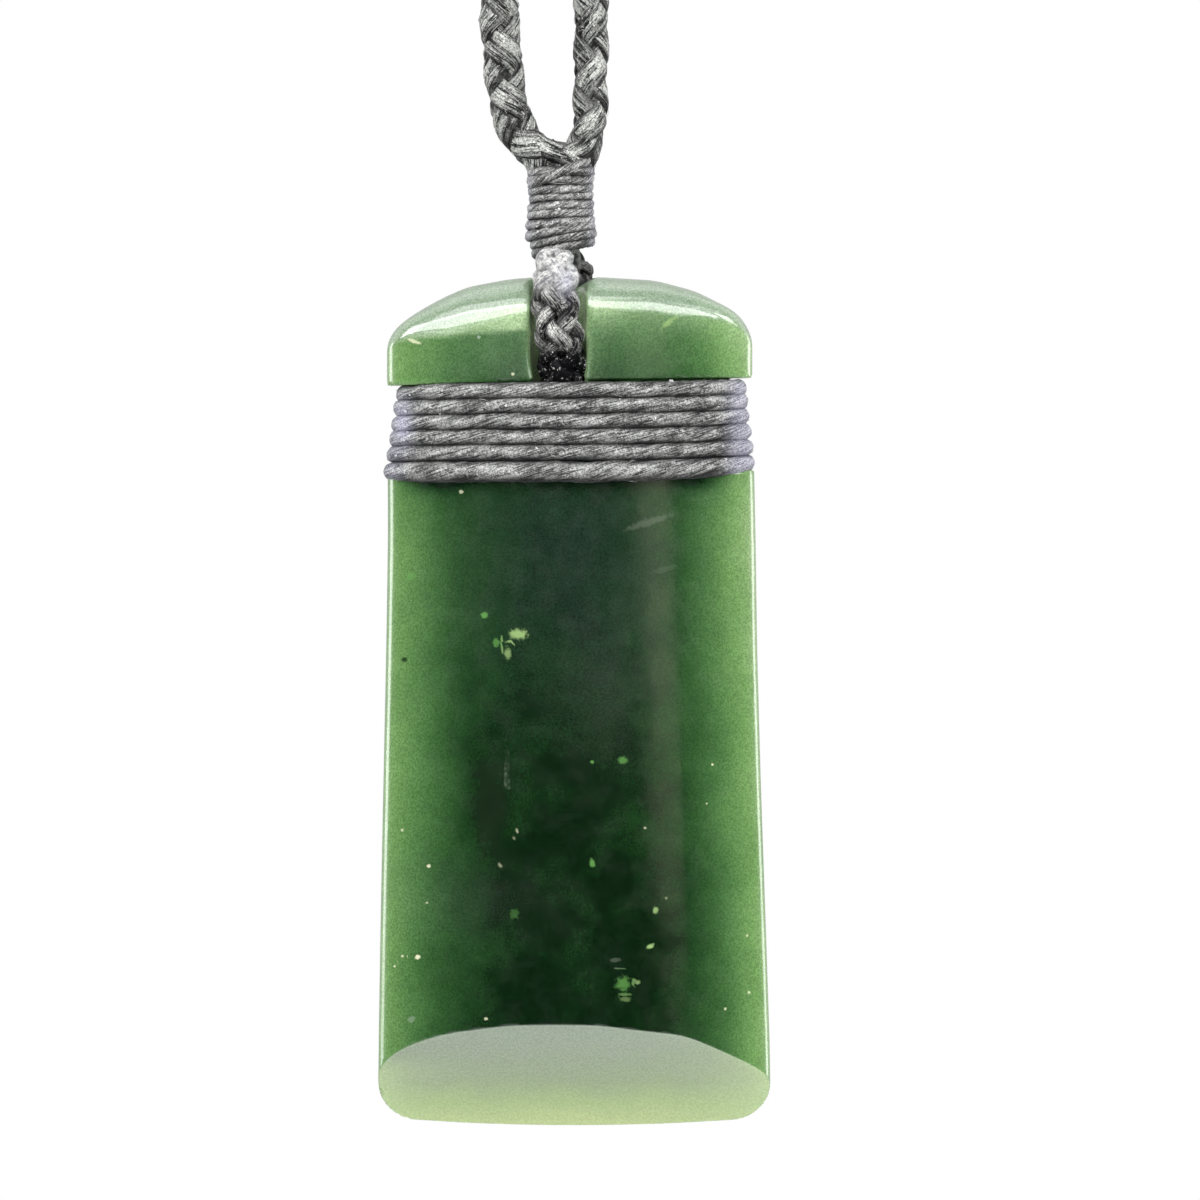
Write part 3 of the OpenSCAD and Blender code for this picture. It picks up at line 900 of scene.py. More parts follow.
@dataclass
class StoneBlade:
    """The blade, worked out as one smooth solid. Sizes in mm above the cutting edge."""

    step: float = 0.22
    front_depth: float = 3.2
    back_depth: float = 3.3
    front_fullness: float = 2.1
    front_crest: float = -0.6
    back_fullness: float = 3.2
    bevel_height: float = 6.2
    edge_y: float = 2.6
    channel_radius: float = 1.64
    channel_shift: float = -0.25
    hole_height: float = 42.6
    saddle_height: float = 50.95
    waist_front: float = 2.86
    waist_back: float = 2.96
    head_height: float = 44.0
    crown_power: float = 1.75
    corner_radius: float = 2.2
    low_corner: tuple[float, float, float] = (-11.7, -4.1, -0.7)
    high_corner: tuple[float, float, float] = (13.1, 4.2, 50.9)
    left_edge: tuple[tuple[float, float], ...] = (
        (0, -10.9), (4.5, -10.88), (12, -10.76), (20, -10.6), (28, -10.43), (35, -10.32), (44, -10.38),
        (51, -10.38))
    right_edge: tuple[tuple[float, float], ...] = (
        (0, 12.28), (4.5, 12.25), (12, 12.0), (20, 11.72), (28, 11.5), (35, 11.4), (44, 11.2), (51, 11.25))
    crown: tuple[tuple[float, float], ...] = (
        (-12.5, 43.4), (-11.2, 45.2), (-10.32, 46.41), (-9.6, 47.2), (-8.74, 47.82), (-7.2, 48.7),
        (-5.62, 49.41), (-3.09, 49.88), (-1.4, 50.0), (2.0, 50.0), (5.44, 49.8), (7.79, 49.18),
        (10.15, 48.0), (11.09, 46.88), (11.7, 45.6), (13, 43.0))
    ridge_drop: tuple[tuple[float, float], ...] = (
        (-10.5, 0.75), (-9.5, 1.25), (-8.4, 1.95), (-6.8, 2.6), (-4.6, 2.5), (-3.2, 2.3), (-2.0, 2.14),
        (1.8, 1.92), (6.3, 1.95), (7.8, 1.76), (9.2, 1.28), (11.2, 0.7))

    def edges(self, height: Array) -> tuple[Array, Array]:
        """Gives the left and right edge at a height.

        Args:
            height: heights above the cutting edge.

        Returns:
            The two edges' places from left to right.
        """
        fine = np.arange(-2.0, 53.0, 0.25)
        left, right = (np.interp(height, fine, softened(np.interp(fine, *np.array(rows).T), 25))
                       for rows in (self.left_edge, self.right_edge))
        return left, right

    def crown_line(self, x: Array) -> tuple[Array, Array]:
        """Gives the outline of the head from the front.

        Args:
            x: places from left to right.

        Returns:
            The height of the outline, and how far under it the front's ridge lies.
        """
        fine = np.arange(-13.0, 13.6, 0.1)
        top = softened(np.interp(fine, *np.array(self.crown).T), 21)
        under = softened(np.interp(fine, *np.array(self.ridge_drop).T), 23)
        return np.interp(x, fine, top), np.interp(x, fine, under)

    @staticmethod
    def smooth_max(a: Array, b: Array, blend: float) -> Array:
        """Takes the larger of two fields and rounds the edge between them.

        Args:
            a: first field.
            b: second field.
            blend: width of the rounding in mm.

        Returns:
            The blended field.
        """
        near = np.clip(blend - np.abs(a - b), 0, None) / blend
        return np.maximum(a, b) + near * near * blend / 4

    @staticmethod
    def section(x: Array, y: Array, half: Array, depth: Array, power: Array) -> Array:
        """Distance to a rounded upright section.

        Args:
            x: places from its middle to the right.
            y: places from its middle to the back.
            half: half its width.
            depth: its depth on the side of each place.
            power: how square it is on that side.

        Returns:
            About the distance outside it, negative inside.
        """
        u, v = np.abs(x) / half, np.abs(y) / depth
        reach = np.maximum((u ** power + v ** power) ** (1 / power), 1e-6)
        slope = np.hypot((u / reach) ** (power - 1) / half, (v / reach) ** (power - 1) / depth)
        return (reach - 1) / np.maximum(slope, 0.05)

    @staticmethod
    def from_segment(p: Array, q: Array, start: tuple[float, float], end: tuple[float, float]) -> Array:
        """Distance in a plane from a straight line between two points.

        Args:
            p: first coordinates.
            q: second coordinates.
            start: where the line starts.
            end: where the line ends.

        Returns:
            The distances.
        """
        run = np.subtract(end, start)
        share = np.clip(((p - start[0]) * run[0] + (q - start[1]) * run[1]) / np.dot(run, run), 0, 1)
        return np.hypot(p - start[0] - share * run[0], q - start[1] - share * run[1])

    @staticmethod
    def waist(height: Array) -> tuple[Array, Array]:
        """Gives the left and right side of the waist under the lashing.

        Args:
            height: heights above the cutting edge.

        Returns:
            The two sides' places from left to right.
        """
        return -9.62 + 0.154 * (height - 38.25), 10.47 - 0.11 * (height - 38.25)

    def channels(self, x: Array, y: Array, h: Array) -> Array:
        """Distance to the hollow of both channels, the saddle and the hole.

        Args:
            x: places to the right.
            y: places to the back.
            h: heights.

        Returns:
            The distance outside the hollow, negative inside.
        """
        reach = []
        for face, shift in ((-1, 0.0), (1, 0.6)):
            middle = shift * np.clip(0.3 + (h - self.hole_height) / 12.0, 0.3, 1.0) + self.channel_shift
            depth = np.minimum(self.from_segment(face * y, h, (0.9, 51.4), (3.05, 46.7)),
                               self.from_segment(face * y, h, (3.05, 46.7), (1.3, self.hole_height)))
            reach.append(np.hypot(x - middle, depth))
        reach.append(np.hypot(x - 0.3, h - self.saddle_height))
        reach.append(np.hypot(x, h - self.hole_height))
        nearest = reach[0]
        for other in reach[1:]:
            nearest = -self.smooth_max(-nearest, -other, 0.3)
        return nearest - self.channel_radius

    def solid(self, x: Array, y: Array, h: Array) -> tuple[Array, Array]:
        """The blade's field.

        Args:
            x: places to the right.
            y: places to the back.
            h: heights above the cutting edge.

        Returns:
            About the distance outside the stone, and how far the bevel lies outside the rest.
        """
        left, right = self.edges(h)
        middle, half = (left + right) / 2, (right - left) / 2
        front = y < 0
        depth = np.where(front, self.front_depth, self.back_depth)
        power = np.where(front, self.front_fullness, self.back_fullness)
        crest = np.where(front, self.front_crest, middle)
        body = self.section(x - crest, y, np.where(x < crest, crest - left, right - crest), depth, power)
        top, under = self.crown_line(x)
        rise = np.clip(h - (top - under), 0, None) / under
        flat = np.abs(y) / (depth * 1.02)
        bend = self.crown_power
        reach = np.maximum((rise ** bend + flat ** bend) ** (1 / bend), 1e-6)
        slope = np.hypot((rise / reach) ** (bend - 1) / under, (flat / reach) ** (bend - 1) / depth)
        head = (reach - 1) / np.maximum(slope, 0.1)
        body = self.smooth_max(body, head, 0.8)
        low = h - 0.35 * ((x - 0.7) / 9.5) ** 2
        corner_x, corner_h = np.abs(x - middle) - (half - self.corner_radius), self.corner_radius - low
        corner = np.hypot(np.clip(corner_x, 0, None), np.clip(corner_h, 0, None)) - self.corner_radius
        corner = corner + np.minimum(np.maximum(corner_x, corner_h), 0)
        body = self.smooth_max(body, corner, 0.2)
        waist_left, waist_right = self.waist(h)
        inner = self.section(x - (waist_left + waist_right) / 2, y, (waist_right - waist_left) / 2,
                             np.where(front, self.waist_front, self.waist_back), power)
        band = np.maximum(38.46 + 0.018 * x - h, h - 43.82 - 0.022 * x)
        body = self.smooth_max(body, -np.maximum(band, -inner), 0.12)
        ground = np.array([-self.bevel_height, -(self.edge_y + self.front_depth)])
        ground = ground / np.hypot(*ground)
        hollow = 0.018 * ease(np.abs(x - self.front_crest), 2.0, 5.0) + 0.02 * ease(x, 2.0, 6.0)
        bevel = ground[0] * (y - self.edge_y) + ground[1] * h * (1 + hollow + 0.15 * ease(x, 6.5, 11.5))
        whole = self.smooth_max(body, bevel, 0.1)
        whole = self.smooth_max(whole, -self.channels(x, y, h), 0.45)
        return whole, bevel - body

    def slope(self, p: Array) -> tuple[Array, Array]:
        """Gives the field and its slope at points.

        Args:
            p: rows of points.

        Returns:
            The field, and its slope along X, Y and Z.
        """
        reach = 0.01
        columns = []
        for axis in range(3):
            shift = np.zeros(3)
            shift[axis] = reach
            ahead = self.solid(*(p + shift).T)[0]
            behind = self.solid(*(p - shift).T)[0]
            columns.append((ahead - behind) / (2 * reach))
        return self.solid(*p.T)[0], np.stack(columns, axis=1)

    def shell(self) -> tuple[Array, Array]:
        """Finds the stone's surface on a fine grid and settles its points on it.

        Returns:
            The points and the four-sided faces.
        """
        low, high = np.array(self.low_corner), np.array(self.high_corner)
        count = np.ceil((high - low) / self.step).astype(int)
        axes = [low[i] + self.step * np.arange(count[i]) for i in range(3)]
        grid = np.meshgrid(*axes, indexing="ij")
        values = self.solid(*grid)[0]
        inside = values < 0
        cells = tuple(c - 1 for c in count)
        total = np.zeros(cells + (3,))
        hits = np.zeros(cells)
        corners = [(i, j, k) for i in (0, 1) for j in (0, 1) for k in (0, 1)]
        for a in corners:
            for axis in range(3):
                if a[axis]:
                    continue
                b = tuple(v + (n == axis) for n, v in enumerate(a))
                cut_a = tuple(slice(s, s + n) for s, n in zip(a, cells))
                cut_b = tuple(slice(s, s + n) for s, n in zip(b, cells))
                va, vb = values[cut_a], values[cut_b]
                crossed = inside[cut_a] != inside[cut_b]
                share = np.where(crossed, va / np.where(crossed, va - vb, 1.0), 0.0)
                for n in range(3):
                    total[..., n] += np.where(crossed, a[n] + (share if n == axis else 0.0), 0.0)
                hits += crossed
        used = hits > 0
        number = np.full(cells, -1)
        number[used] = np.arange(used.sum())
        where = np.stack(np.nonzero(used), axis=1)
        points = low + self.step * (where + total[used] / hits[used][:, None])
        faces = []
        for axis in range(3):
            ahead = [slice(None)] * 3
            ahead[axis] = slice(1, None)
            behind = [slice(None)] * 3
            behind[axis] = slice(None, -1)
            edge = np.nonzero(inside[tuple(behind)] != inside[tuple(ahead)])
            enters = inside[tuple(behind)][edge]
            b, c = (axis + 1) % 3, (axis + 2) % 3
            ring = []
            for db, dc in ((0, 0), (-1, 0), (-1, -1), (0, -1)):
                cell = [edge[0].copy(), edge[1].copy(), edge[2].copy()]
                cell[b] += db
                cell[c] += dc
                ring.append(number[tuple(cell)])
            quads = np.stack(ring, axis=1)
            quads[~enters] = quads[~enters][:, ::-1]
            faces.append(quads)
        for _ in range(4):
            value, slope = self.slope(points)
            move = value[:, None] * slope / np.maximum(np.sum(slope ** 2, axis=1, keepdims=True), 0.2)
            points = points - np.clip(move, -0.5 * self.step, 0.5 * self.step)
        return points, np.vstack(faces)

    def glow(self, x: Array, y: Array, h: Array) -> Array:
        """Works out how much light comes through the stone from its thin sides.

        Args:
            x: places to the right.
            y: places to the back.
            h: heights.

        Returns:
            Shares from 0 to 1.
        """
        left, right = self.edges(h)
        head = h > self.head_height
        # painted shade: less light comes through toward the lashing
        out_of_lashing_shade = 1 - ease(h, 33.0, 38.2) * (h < 43)
        left_reach = 3.0 - 0.5 * ease(h, 33.0, 12.0) - 0.7 * head
        right_reach = 2.87 - 0.50 * ease(h, 28.0, 6.0) - 0.9 * head
        from_left, from_right = np.clip(x - left, 0, None), np.clip(right - x, 0, None)
        glow_left = 0.74 * np.exp(-(from_left / left_reach) ** 1.34) * (0.84 + 0.16 * out_of_lashing_shade)
        glow_right = ((1.0 - 0.16 * ease(h, 32.0, 22.0)) * np.exp(-(from_right / right_reach) ** 1.4)
                      * (0.88 + 0.12 * out_of_lashing_shade))
        top, _ = self.crown_line(x)
        glow_crown = 0.47 * np.exp(-(np.clip(top - h, 0, None) / 4.6) ** 1.3)
        glow_edge = np.exp(-(np.clip(h, 0, None) / 2.6) ** 1.2) * (y > 0)
        glow_lip = np.exp(-np.clip(self.channels(x, y, h), 0, None) / 0.22) * 0.62
        everywhere = 0.004 + 0.03 * ease(h, 20.0, 33.0)
        dark = np.ones_like(x)
        for light in (glow_left, glow_right, glow_crown, glow_edge, glow_lip, everywhere):
            dark = dark * (1 - np.clip(light, 0, 1))
        return 1 - dark

    def painted_light_pool(self, x: Array, y: Array, h: Array) -> Array:
        """Works out the painted light: the pale band under the head's ridge and the lit walls of the
        channels.

        Args:
            x: places to the right.
            y: places to the back.
            h: heights.

        Returns:
            Shares from 0 to 1.
        """
        top, under = self.crown_line(x)
        below = np.clip(top - under - h, 0, None) / 0.75
        cut = 46.86 + 0.08 * (x + 2.9)
        left = ease(-x, 1.0, 2.6) * (0.50 + 0.26 * np.exp(-((x + 2.6) / 1.2) ** 2))
        left = left * ease(h, cut - 0.22, cut + 0.16)
        right = 0.62 * np.exp(-below ** 1.1) * ease(x, 1.0, 1.8) * (1 - 0.66 * ease(x, 2.2, 4.4))
        band = (left + right) * (h > self.head_height) * ease(top - h, under * 0.55, under * 0.95)
        inside = np.clip(self.channels(x, y, h), 0, None)
        wall = (0.92 + 0.08 * ease(-x, 0.5, 1.0)) * np.exp(-inside / 0.07)
        wall = (wall + 0.22 * (x > 0) * np.exp(-inside / 0.4)) * ease(top - h, 0.3, 1.5)
        return np.maximum(band, wall)

    def mist_and_reflection(self, x: Array, y: Array, h: Array) -> Array:
        """Works out the painted grey reflection above the head's ridge, a fainter grey across the head, and
        the faint clouds in the body.

        Args:
            x: places to the right.
            y: places to the back.
            h: heights.

        Returns:
            Shares from 0 to 1.
        """
        top, under = self.crown_line(x)
        above = 0.68 * ease(h - (top - under), 0.05, 0.6)
        milky = np.where(x < 0, 0.12, 0.075) * np.exp(-((np.abs(x) - 1.8) / 4.5) ** 2)
        cloud = 0.04 * np.exp(-((x - 2.6) / 2.3) ** 2 - ((h - 25.5) / 4.0) ** 2)
        cloud = cloud + 0.035 * np.exp(-((x + 7.0) / 5.0) ** 2 - ((h - 13.4) / 1.9) ** 2)
        return np.where(h > self.head_height, np.maximum(above, milky), cloud * (y < 0))

    def tones(self, p: Array) -> dict[str, Array]:
        """Works out the values that the stone's finish reads.

        Args:
            p: points on the surface.

        Returns:
            Named values for the finish.
        """
        x, y, h = p.T
        left, right = self.edges(h)
        from_left, from_right = np.clip(x - left, 0, None), np.clip(right - x, 0, None)
        under_lashing = np.exp(-(np.clip(37.85 - h, 0, None) / 0.6) ** 1.3) * (h < 39)
        shadow = 1 - 0.95 * under_lashing * ease(10.6 - np.abs(x), 0, 3)
        cool = ease(h, 20.0, 34.0) * (1 - ease(h, 40.0, 44.0)) * shadow * np.exp(-((x - 0.4) / 6.5) ** 2)
        # painted light: the bevel is paler and yellower near the sides, where light comes through the thin
        # stone
        left_rim = 0.8 * np.exp(-from_left / 1.9) * ease(h, 4.6, 3.2)
        return {"glow": self.glow(x, y, h) * shadow, "cool": cool, "painted_light_pool": self.painted_light_pool(x, y, h),
                "mist_and_reflection": self.mist_and_reflection(x, y, h), "height": h,
                "side_rim": np.maximum(left_rim, np.exp(-from_right / 2.6)),
                "bevel_side": self.solid(x, y, h)[1]}

    def marks(self, p: Array) -> dict[str, Array]:
        """Ties each point to its nearest fleck; most are inclusions, a few are painted highlights, painted
        reflections and painted shade.

        Args:
            p: points on the surface.

        Returns:
            Place within the fleck, its tint and its strength.
        """
        back = p[:, 1] > 0.3
        x = np.where(back, 1.2 - p[:, 0], p[:, 0])
        h = np.where(back, p[:, 2] + 3.0, p[:, 2])
        best = np.full(len(p), np.inf)
        at = np.full((len(p), 3), 9.0)
        tint = np.zeros((len(p), 3))
        strength = np.zeros(len(p))
        for fleck in FLECKS:
            across = (x - fleck.x) / fleck.wide
            up = (h - fleck.h - fleck.lean * (x - fleck.x)) / fleck.tall
            gap = np.hypot(across, up)
            near_wide, near_tall = 1.25 * fleck.wide + 0.34, 1.25 * fleck.tall + 0.34
            near = np.hypot((x - fleck.x) / near_wide, up * fleck.tall / near_tall) < 1
            closer = (gap < best) & near
            best = np.where(closer, gap, best)
            at[closer] = np.stack([across, up, np.zeros(len(p))], axis=1)[closer]
            tint[closer] = fleck.tint.value
            strength[closer] = fleck.strength
        return {"fleck_at": at, "fleck_tint": tint, "fleck_strength": strength}

    def build(self) -> None:
        """Makes the stone piece."""
        points, quads = self.shell()
        slope = unit(self.slope(points)[1])
        values = {**self.tones(points), **self.marks(points)}
        placed = points + np.array([0.0, 0.0, EDGE_Z])
        skin = Skin(placed, quads.tolist(), values, slope)
        skin.piece("stone_blade", PolishedGreenstone().material(), Slot.STONE, ["blade"])


@dataclass
class WaistLashing:
    """Waxed cord wound six times round the waist. Heights in mm above the cutting edge."""

    yarn: Yarn = Yarn(radial=0.45, sideways=0.50, plies=3, lay=11.0, direction=Lay.RIGHT, groove=0.06,
                      sides=28, relief=0.020, fibre=12.0, stretch=1.0, ply_dark=0.45, underside=0.42)
    crumbs: tuple[tuple[float, float, float], ...] = (
        (6.4, 43.9, 0.13), (0.26, 40.76, 0.07), (-4.1, 39.76, 0.06), (6.5, 39.06, 0.10), (7.7, 40.35, 0.06),
        (-9.5, 42.4, 0.09), (-9.2, 42.0, 0.11), (-9.6, 41.5, 0.08), (-9.3, 41.2, 0.12), (-9.1, 40.9, 0.07),
        (-9.7, 40.7, 0.09), (-9.3, 40.4, 0.08), (9.6, 39.3, 0.07), (9.2, 42.3, 0.06), (-7.2, 41.9, 0.05),
        (3.4, 42.8, 0.05), (-9.8, 39.5, 0.08), (-9.0, 43.0, 0.06))
    step: float = 0.17
    clearance: float = 0.02
    start_angle: float = 150.0
    end_angle: float = 12.0
    front_angles: tuple[float, ...] = (180.0, 215.0, 290.0, 360.0)
    smoothing: int = 81
    sway_seed: int = 11
    cord_seed: int = 3
    hair_seed: int = 71
    crumb_seed: int = 31
    hair_count: int = 130
    left_heights: tuple[float, ...] = (38.54, 39.55, 40.47, 41.35, 42.22, 43.10)
    front_heights: tuple[float, ...] = (38.52, 39.66, 40.58, 41.49, 42.40, 43.34)
    right_heights: tuple[float, ...] = (39.08, 40.02, 40.92, 41.84, 42.68, 43.46)
    stone: StoneBlade = field(default_factory=StoneBlade)

    def route(self) -> tuple[Array, Array]:
        """Works out the cord's middle line.

        Returns:
            The points above the cutting edge, and the direction away from the stone at each.
        """
        turns = len(self.left_heights)
        knots, heights = [self.start_angle], [self.left_heights[0] - 0.1]
        for i in range(turns):
            knots += [angle + 360 * i for angle in self.front_angles]
            middle = self.front_heights[i]
            left = self.left_heights[i]
            heights += [left, (left + middle) / 2, middle, self.right_heights[i]]
        knots.append(self.end_angle + 360 * turns)
        heights.append(self.right_heights[-1] + 0.02)
        angle = np.arange(knots[0], knots[-1], 0.5)
        height = np.interp(angle, knots, heights)
        window = np.ones(self.smoothing) / self.smoothing
        height = np.convolve(np.pad(height, self.smoothing // 2, mode="edge"), window, "valid")
        a = np.radians(angle)
        power = np.where(np.sin(a) < 0, self.stone.front_fullness, self.stone.back_fullness)
        depth = np.where(np.sin(a) < 0, self.stone.waist_front, self.stone.waist_back)
        left, right = self.stone.waist(height)
        half = (right - left) / 2
        u = np.sign(np.cos(a)) * np.abs(np.cos(a)) ** (2 / power)
        v = np.sign(np.sin(a)) * np.abs(np.sin(a)) ** (2 / power)
        out = np.stack([np.sign(u) * np.abs(u) ** (power - 1) / half,
                        np.sign(v) * np.abs(v) ** (power - 1) / depth, np.zeros_like(u)], axis=1)
        out = unit(out)
        path = np.stack([(left + right) / 2 + half * u, depth * v, height], axis=1)
        path = path + out * (self.yarn.radial + self.clearance)
        both = even_steps(np.hstack([path, out]), self.step)
        return both[:, :3], unit(both[:, 3:])

    def build(self) -> None:
        """Makes the lashing piece."""
        path, out = self.route()
        run = arc_length(path)
        draw = np.random.default_rng(self.sway_seed)
        sway = wander(run, 1.7, 0.026, draw)
        path = path + out * np.abs(sway)[:, None]
        path[:, 2] += sway
        lowest_front = ease(path[:, 2], 39.0, 38.7) * ease(-path[:, 1], 0.5, 2.5)
        thick = 1 + wander(run, 2.3, 0.02, draw)
        thick = thick * (0.35 + 0.65 * tapered(run, 0.8)) * (1 + 0.24 * lowest_front)
        cord = self.yarn.loft(path, out, self.cord_seed, thick, crowd=0.9)
        skin = Skin.joined([cord, *self.yarn.hairs(path, out, self.hair_seed, self.hair_count, thick),
                            *cord.crumbs(self.crumbs, self.crumb_seed)])
        x, y, h = skin.points.T
        patch = np.exp(-((x + 9.35) / 0.5) ** 2 - ((h - 41.4) / 1.3) ** 2) * (y < 0.5)
        # painted sheen: paler lilac toward both ends of the lashing, where the cord curves round the sides
        rims = 0.30 * (ease(-x, 8.9, 10.2) + 1.9 * ease(x, 9.2, 10.6))
        skin.values["lilac"] = np.clip(0.75 * patch + rims, 0, 0.85)
        skin.points[:, 2] += EDGE_Z
        finish = WaxedYarn("waxed_lashing", dark=(0.034, 0.035, 0.033), light=(0.45, 0.455, 0.445),
                           crumb=(0.88, 0.88, 0.87), crumbs=0.9, roughness=0.5, sheen=0.10)
        skin.piece("lashing_cord", finish.material(), Slot.LASHING, ["lashing"])


@dataclass
class BraidedBail:
    """Four pairs of cords braided together: down the front, through the hole and up the back."""

    braid: Braid = Braid(pitch=7.4, ring=0.80, weave=0.19, waves=4, turns=(1, 1, 1, 1, -1, -1, -1, -1),
                         starts=(0.0, 90.0, 180.0, 270.0, 45.0, 135.0, 225.0, 315.0))
    yarn: Yarn = Yarn(radial=0.36, sideways=0.50, plies=2, lay=14.0, direction=Lay.LEFT, groove=0.16,
                      sides=18, relief=0.045, fibre=11.0, stretch=1.0, meet_power=2.6, underside=0.20)
    core: Yarn = Yarn(radial=0.72, sideways=0.72, plies=1, lay=9.0, direction=Lay.RIGHT, groove=0.0,
                      sides=12)
    step: float = 0.11
    route: tuple[tuple[float, float], ...] = (
        (0.42, 56.4), (0.5, 54.0), (0.62, 52.2), (0.9, 51.3), (1.45, 50.5), (2.1, 49.6), (2.65, 48.5),
        (2.92, 47.2), (2.85, 45.9), (2.3, 44.5), (1.4, 43.3), (0.5, 42.7), (0.0, 42.6))
    crumb_ranges: tuple[tuple[float, float], ...] = ((-1.3, 0.9), (49.3, 51.9), (0.05, 0.10))
    back_shift: float = 0.6
    front_shift: float = -0.42
    crossing_shift: float = 0.1
    turn: float = 26.0
    strands: int = 4
    squeezed: float = 0.48
    swelling: float = 0.11
    cord_seed: int = 20
    core_seed: int = 30
    hair_seed: int = 80
    spot_seed: int = 60
    crumb_seed: int = 50
    hair_count: int = 20
    crumb_count: int = 12

    def middle(self) -> Array:
        """Works out the middle of the bail.

        Returns:
            Its points, down the front and up the back.
        """
        top, hole = self.route[0][1], self.route[-1][1]
        down = [[self.front_shift * float(ease(z, 44.6, 48.6)), -y, z] for y, z in self.route]
        up = [[self.back_shift * float(ease(top - z, 2.5, 6.0) * ease(z - hole, 0.0, 3.0)), y, z]
              for y, z in self.route[-2::-1]]
        return smooth_curve(down + up, self.step)

    def thickness(self, centre: Array) -> Array:
        """Gives the share of the full size, least inside the whipping.

        Args:
            centre: points along the middle of the bail.

        Returns:
            One share for each point.
        """
        height = centre[:, 2]
        out_of_whipping = np.where(centre[:, 1] < 0, ease(height, 51.9, 50.6), ease(height, 51.4, 50.0))
        share = self.squeezed + (1 - self.squeezed) * out_of_whipping
        return share * (1 + self.swelling * ease(height, 50.4, 48.8))

    def strand(self, k: int, centre: Array) -> Skin:
        """Builds the pair of cords that stands for one strand.

        Args:
            k: number of the strand, from 0.
            centre: points along the middle of the bail.

        Returns:
            Their skin, in mm above the cutting edge.
        """
        side, turned = np.array([1.0, 0.0, 0.0]), np.full(len(centre), self.turn)
        thick = self.thickness(centre)
        skins = []
        for n in (k, k + self.strands):
            path, out = self.braid.strand(n, centre, side, turned, thick, self.crossing_shift)
            skins.append(self.yarn.loft(path, out, self.cord_seed + n, thick, crowd=0.95))
            skins += self.yarn.hairs(path, out, self.hair_seed + n, self.hair_count, thick)
        if k == 0:
            skins.append(self.core.loft(centre, out, self.core_seed, thick, crowd=1.0))
            # painted shade: the core only shows between the strands, so it is made dark all over
            skins[-1].values["groove"] = np.ones(len(skins[-1].points))
        draw = np.random.default_rng(self.spot_seed + k)
        spots = [draw.uniform(low, high, self.crumb_count).tolist() for low, high in self.crumb_ranges]
        return Skin.joined(skins + skins[0].crumbs(tuple(zip(*spots)), self.crumb_seed + k))

    def build(self) -> None:
        """Makes one piece for each strand."""
        centre = self.middle()
        finish = WaxedYarn("waxed_bail", dark=(0.004, 0.004, 0.005), light=(0.72, 0.72, 0.69),
                           crumb=(0.92, 0.92, 0.90), crumbs=1.0, roughness=0.45, sheen=0.0, gloss=0.05)
        material = finish.material()
        for k in range(self.strands):
            skin = self.strand(k, centre)
            x, y, h = skin.points.T
            # pale wax at the top of the bail, made lighter still as painted highlight where it leaves the
            # whipping
            worn = np.maximum(skin.values["worn"] * ease(h, 44.5, 46.5), 0.85 * ease(h, 48.6, 50.2))
            # painted shade: near black low down, where the bail sinks into the channel; the back just under
            # the whipping is darkened too
            darkening = ease(h, 47.0, 45.2) + 0.7 * (y > 0.2) * ease(h, 52.0, 51.3)
            skin.values["worn"] = worn * (y < 0.8)
            skin.values["darkening"] = np.clip(darkening, 0, 1)
            skin.values["lilac"] = 0.5 * np.exp(-((x - 0.25) / 0.5) ** 2 - ((h - 49.6) / 0.8) ** 2) * (y < 0)
            skin.points[:, 2] += EDGE_Z
            skin.piece(f"bail_strand_{k + 1}_yarn", material, Slot.BAIL, [f"bail_strand_{k + 1}"])


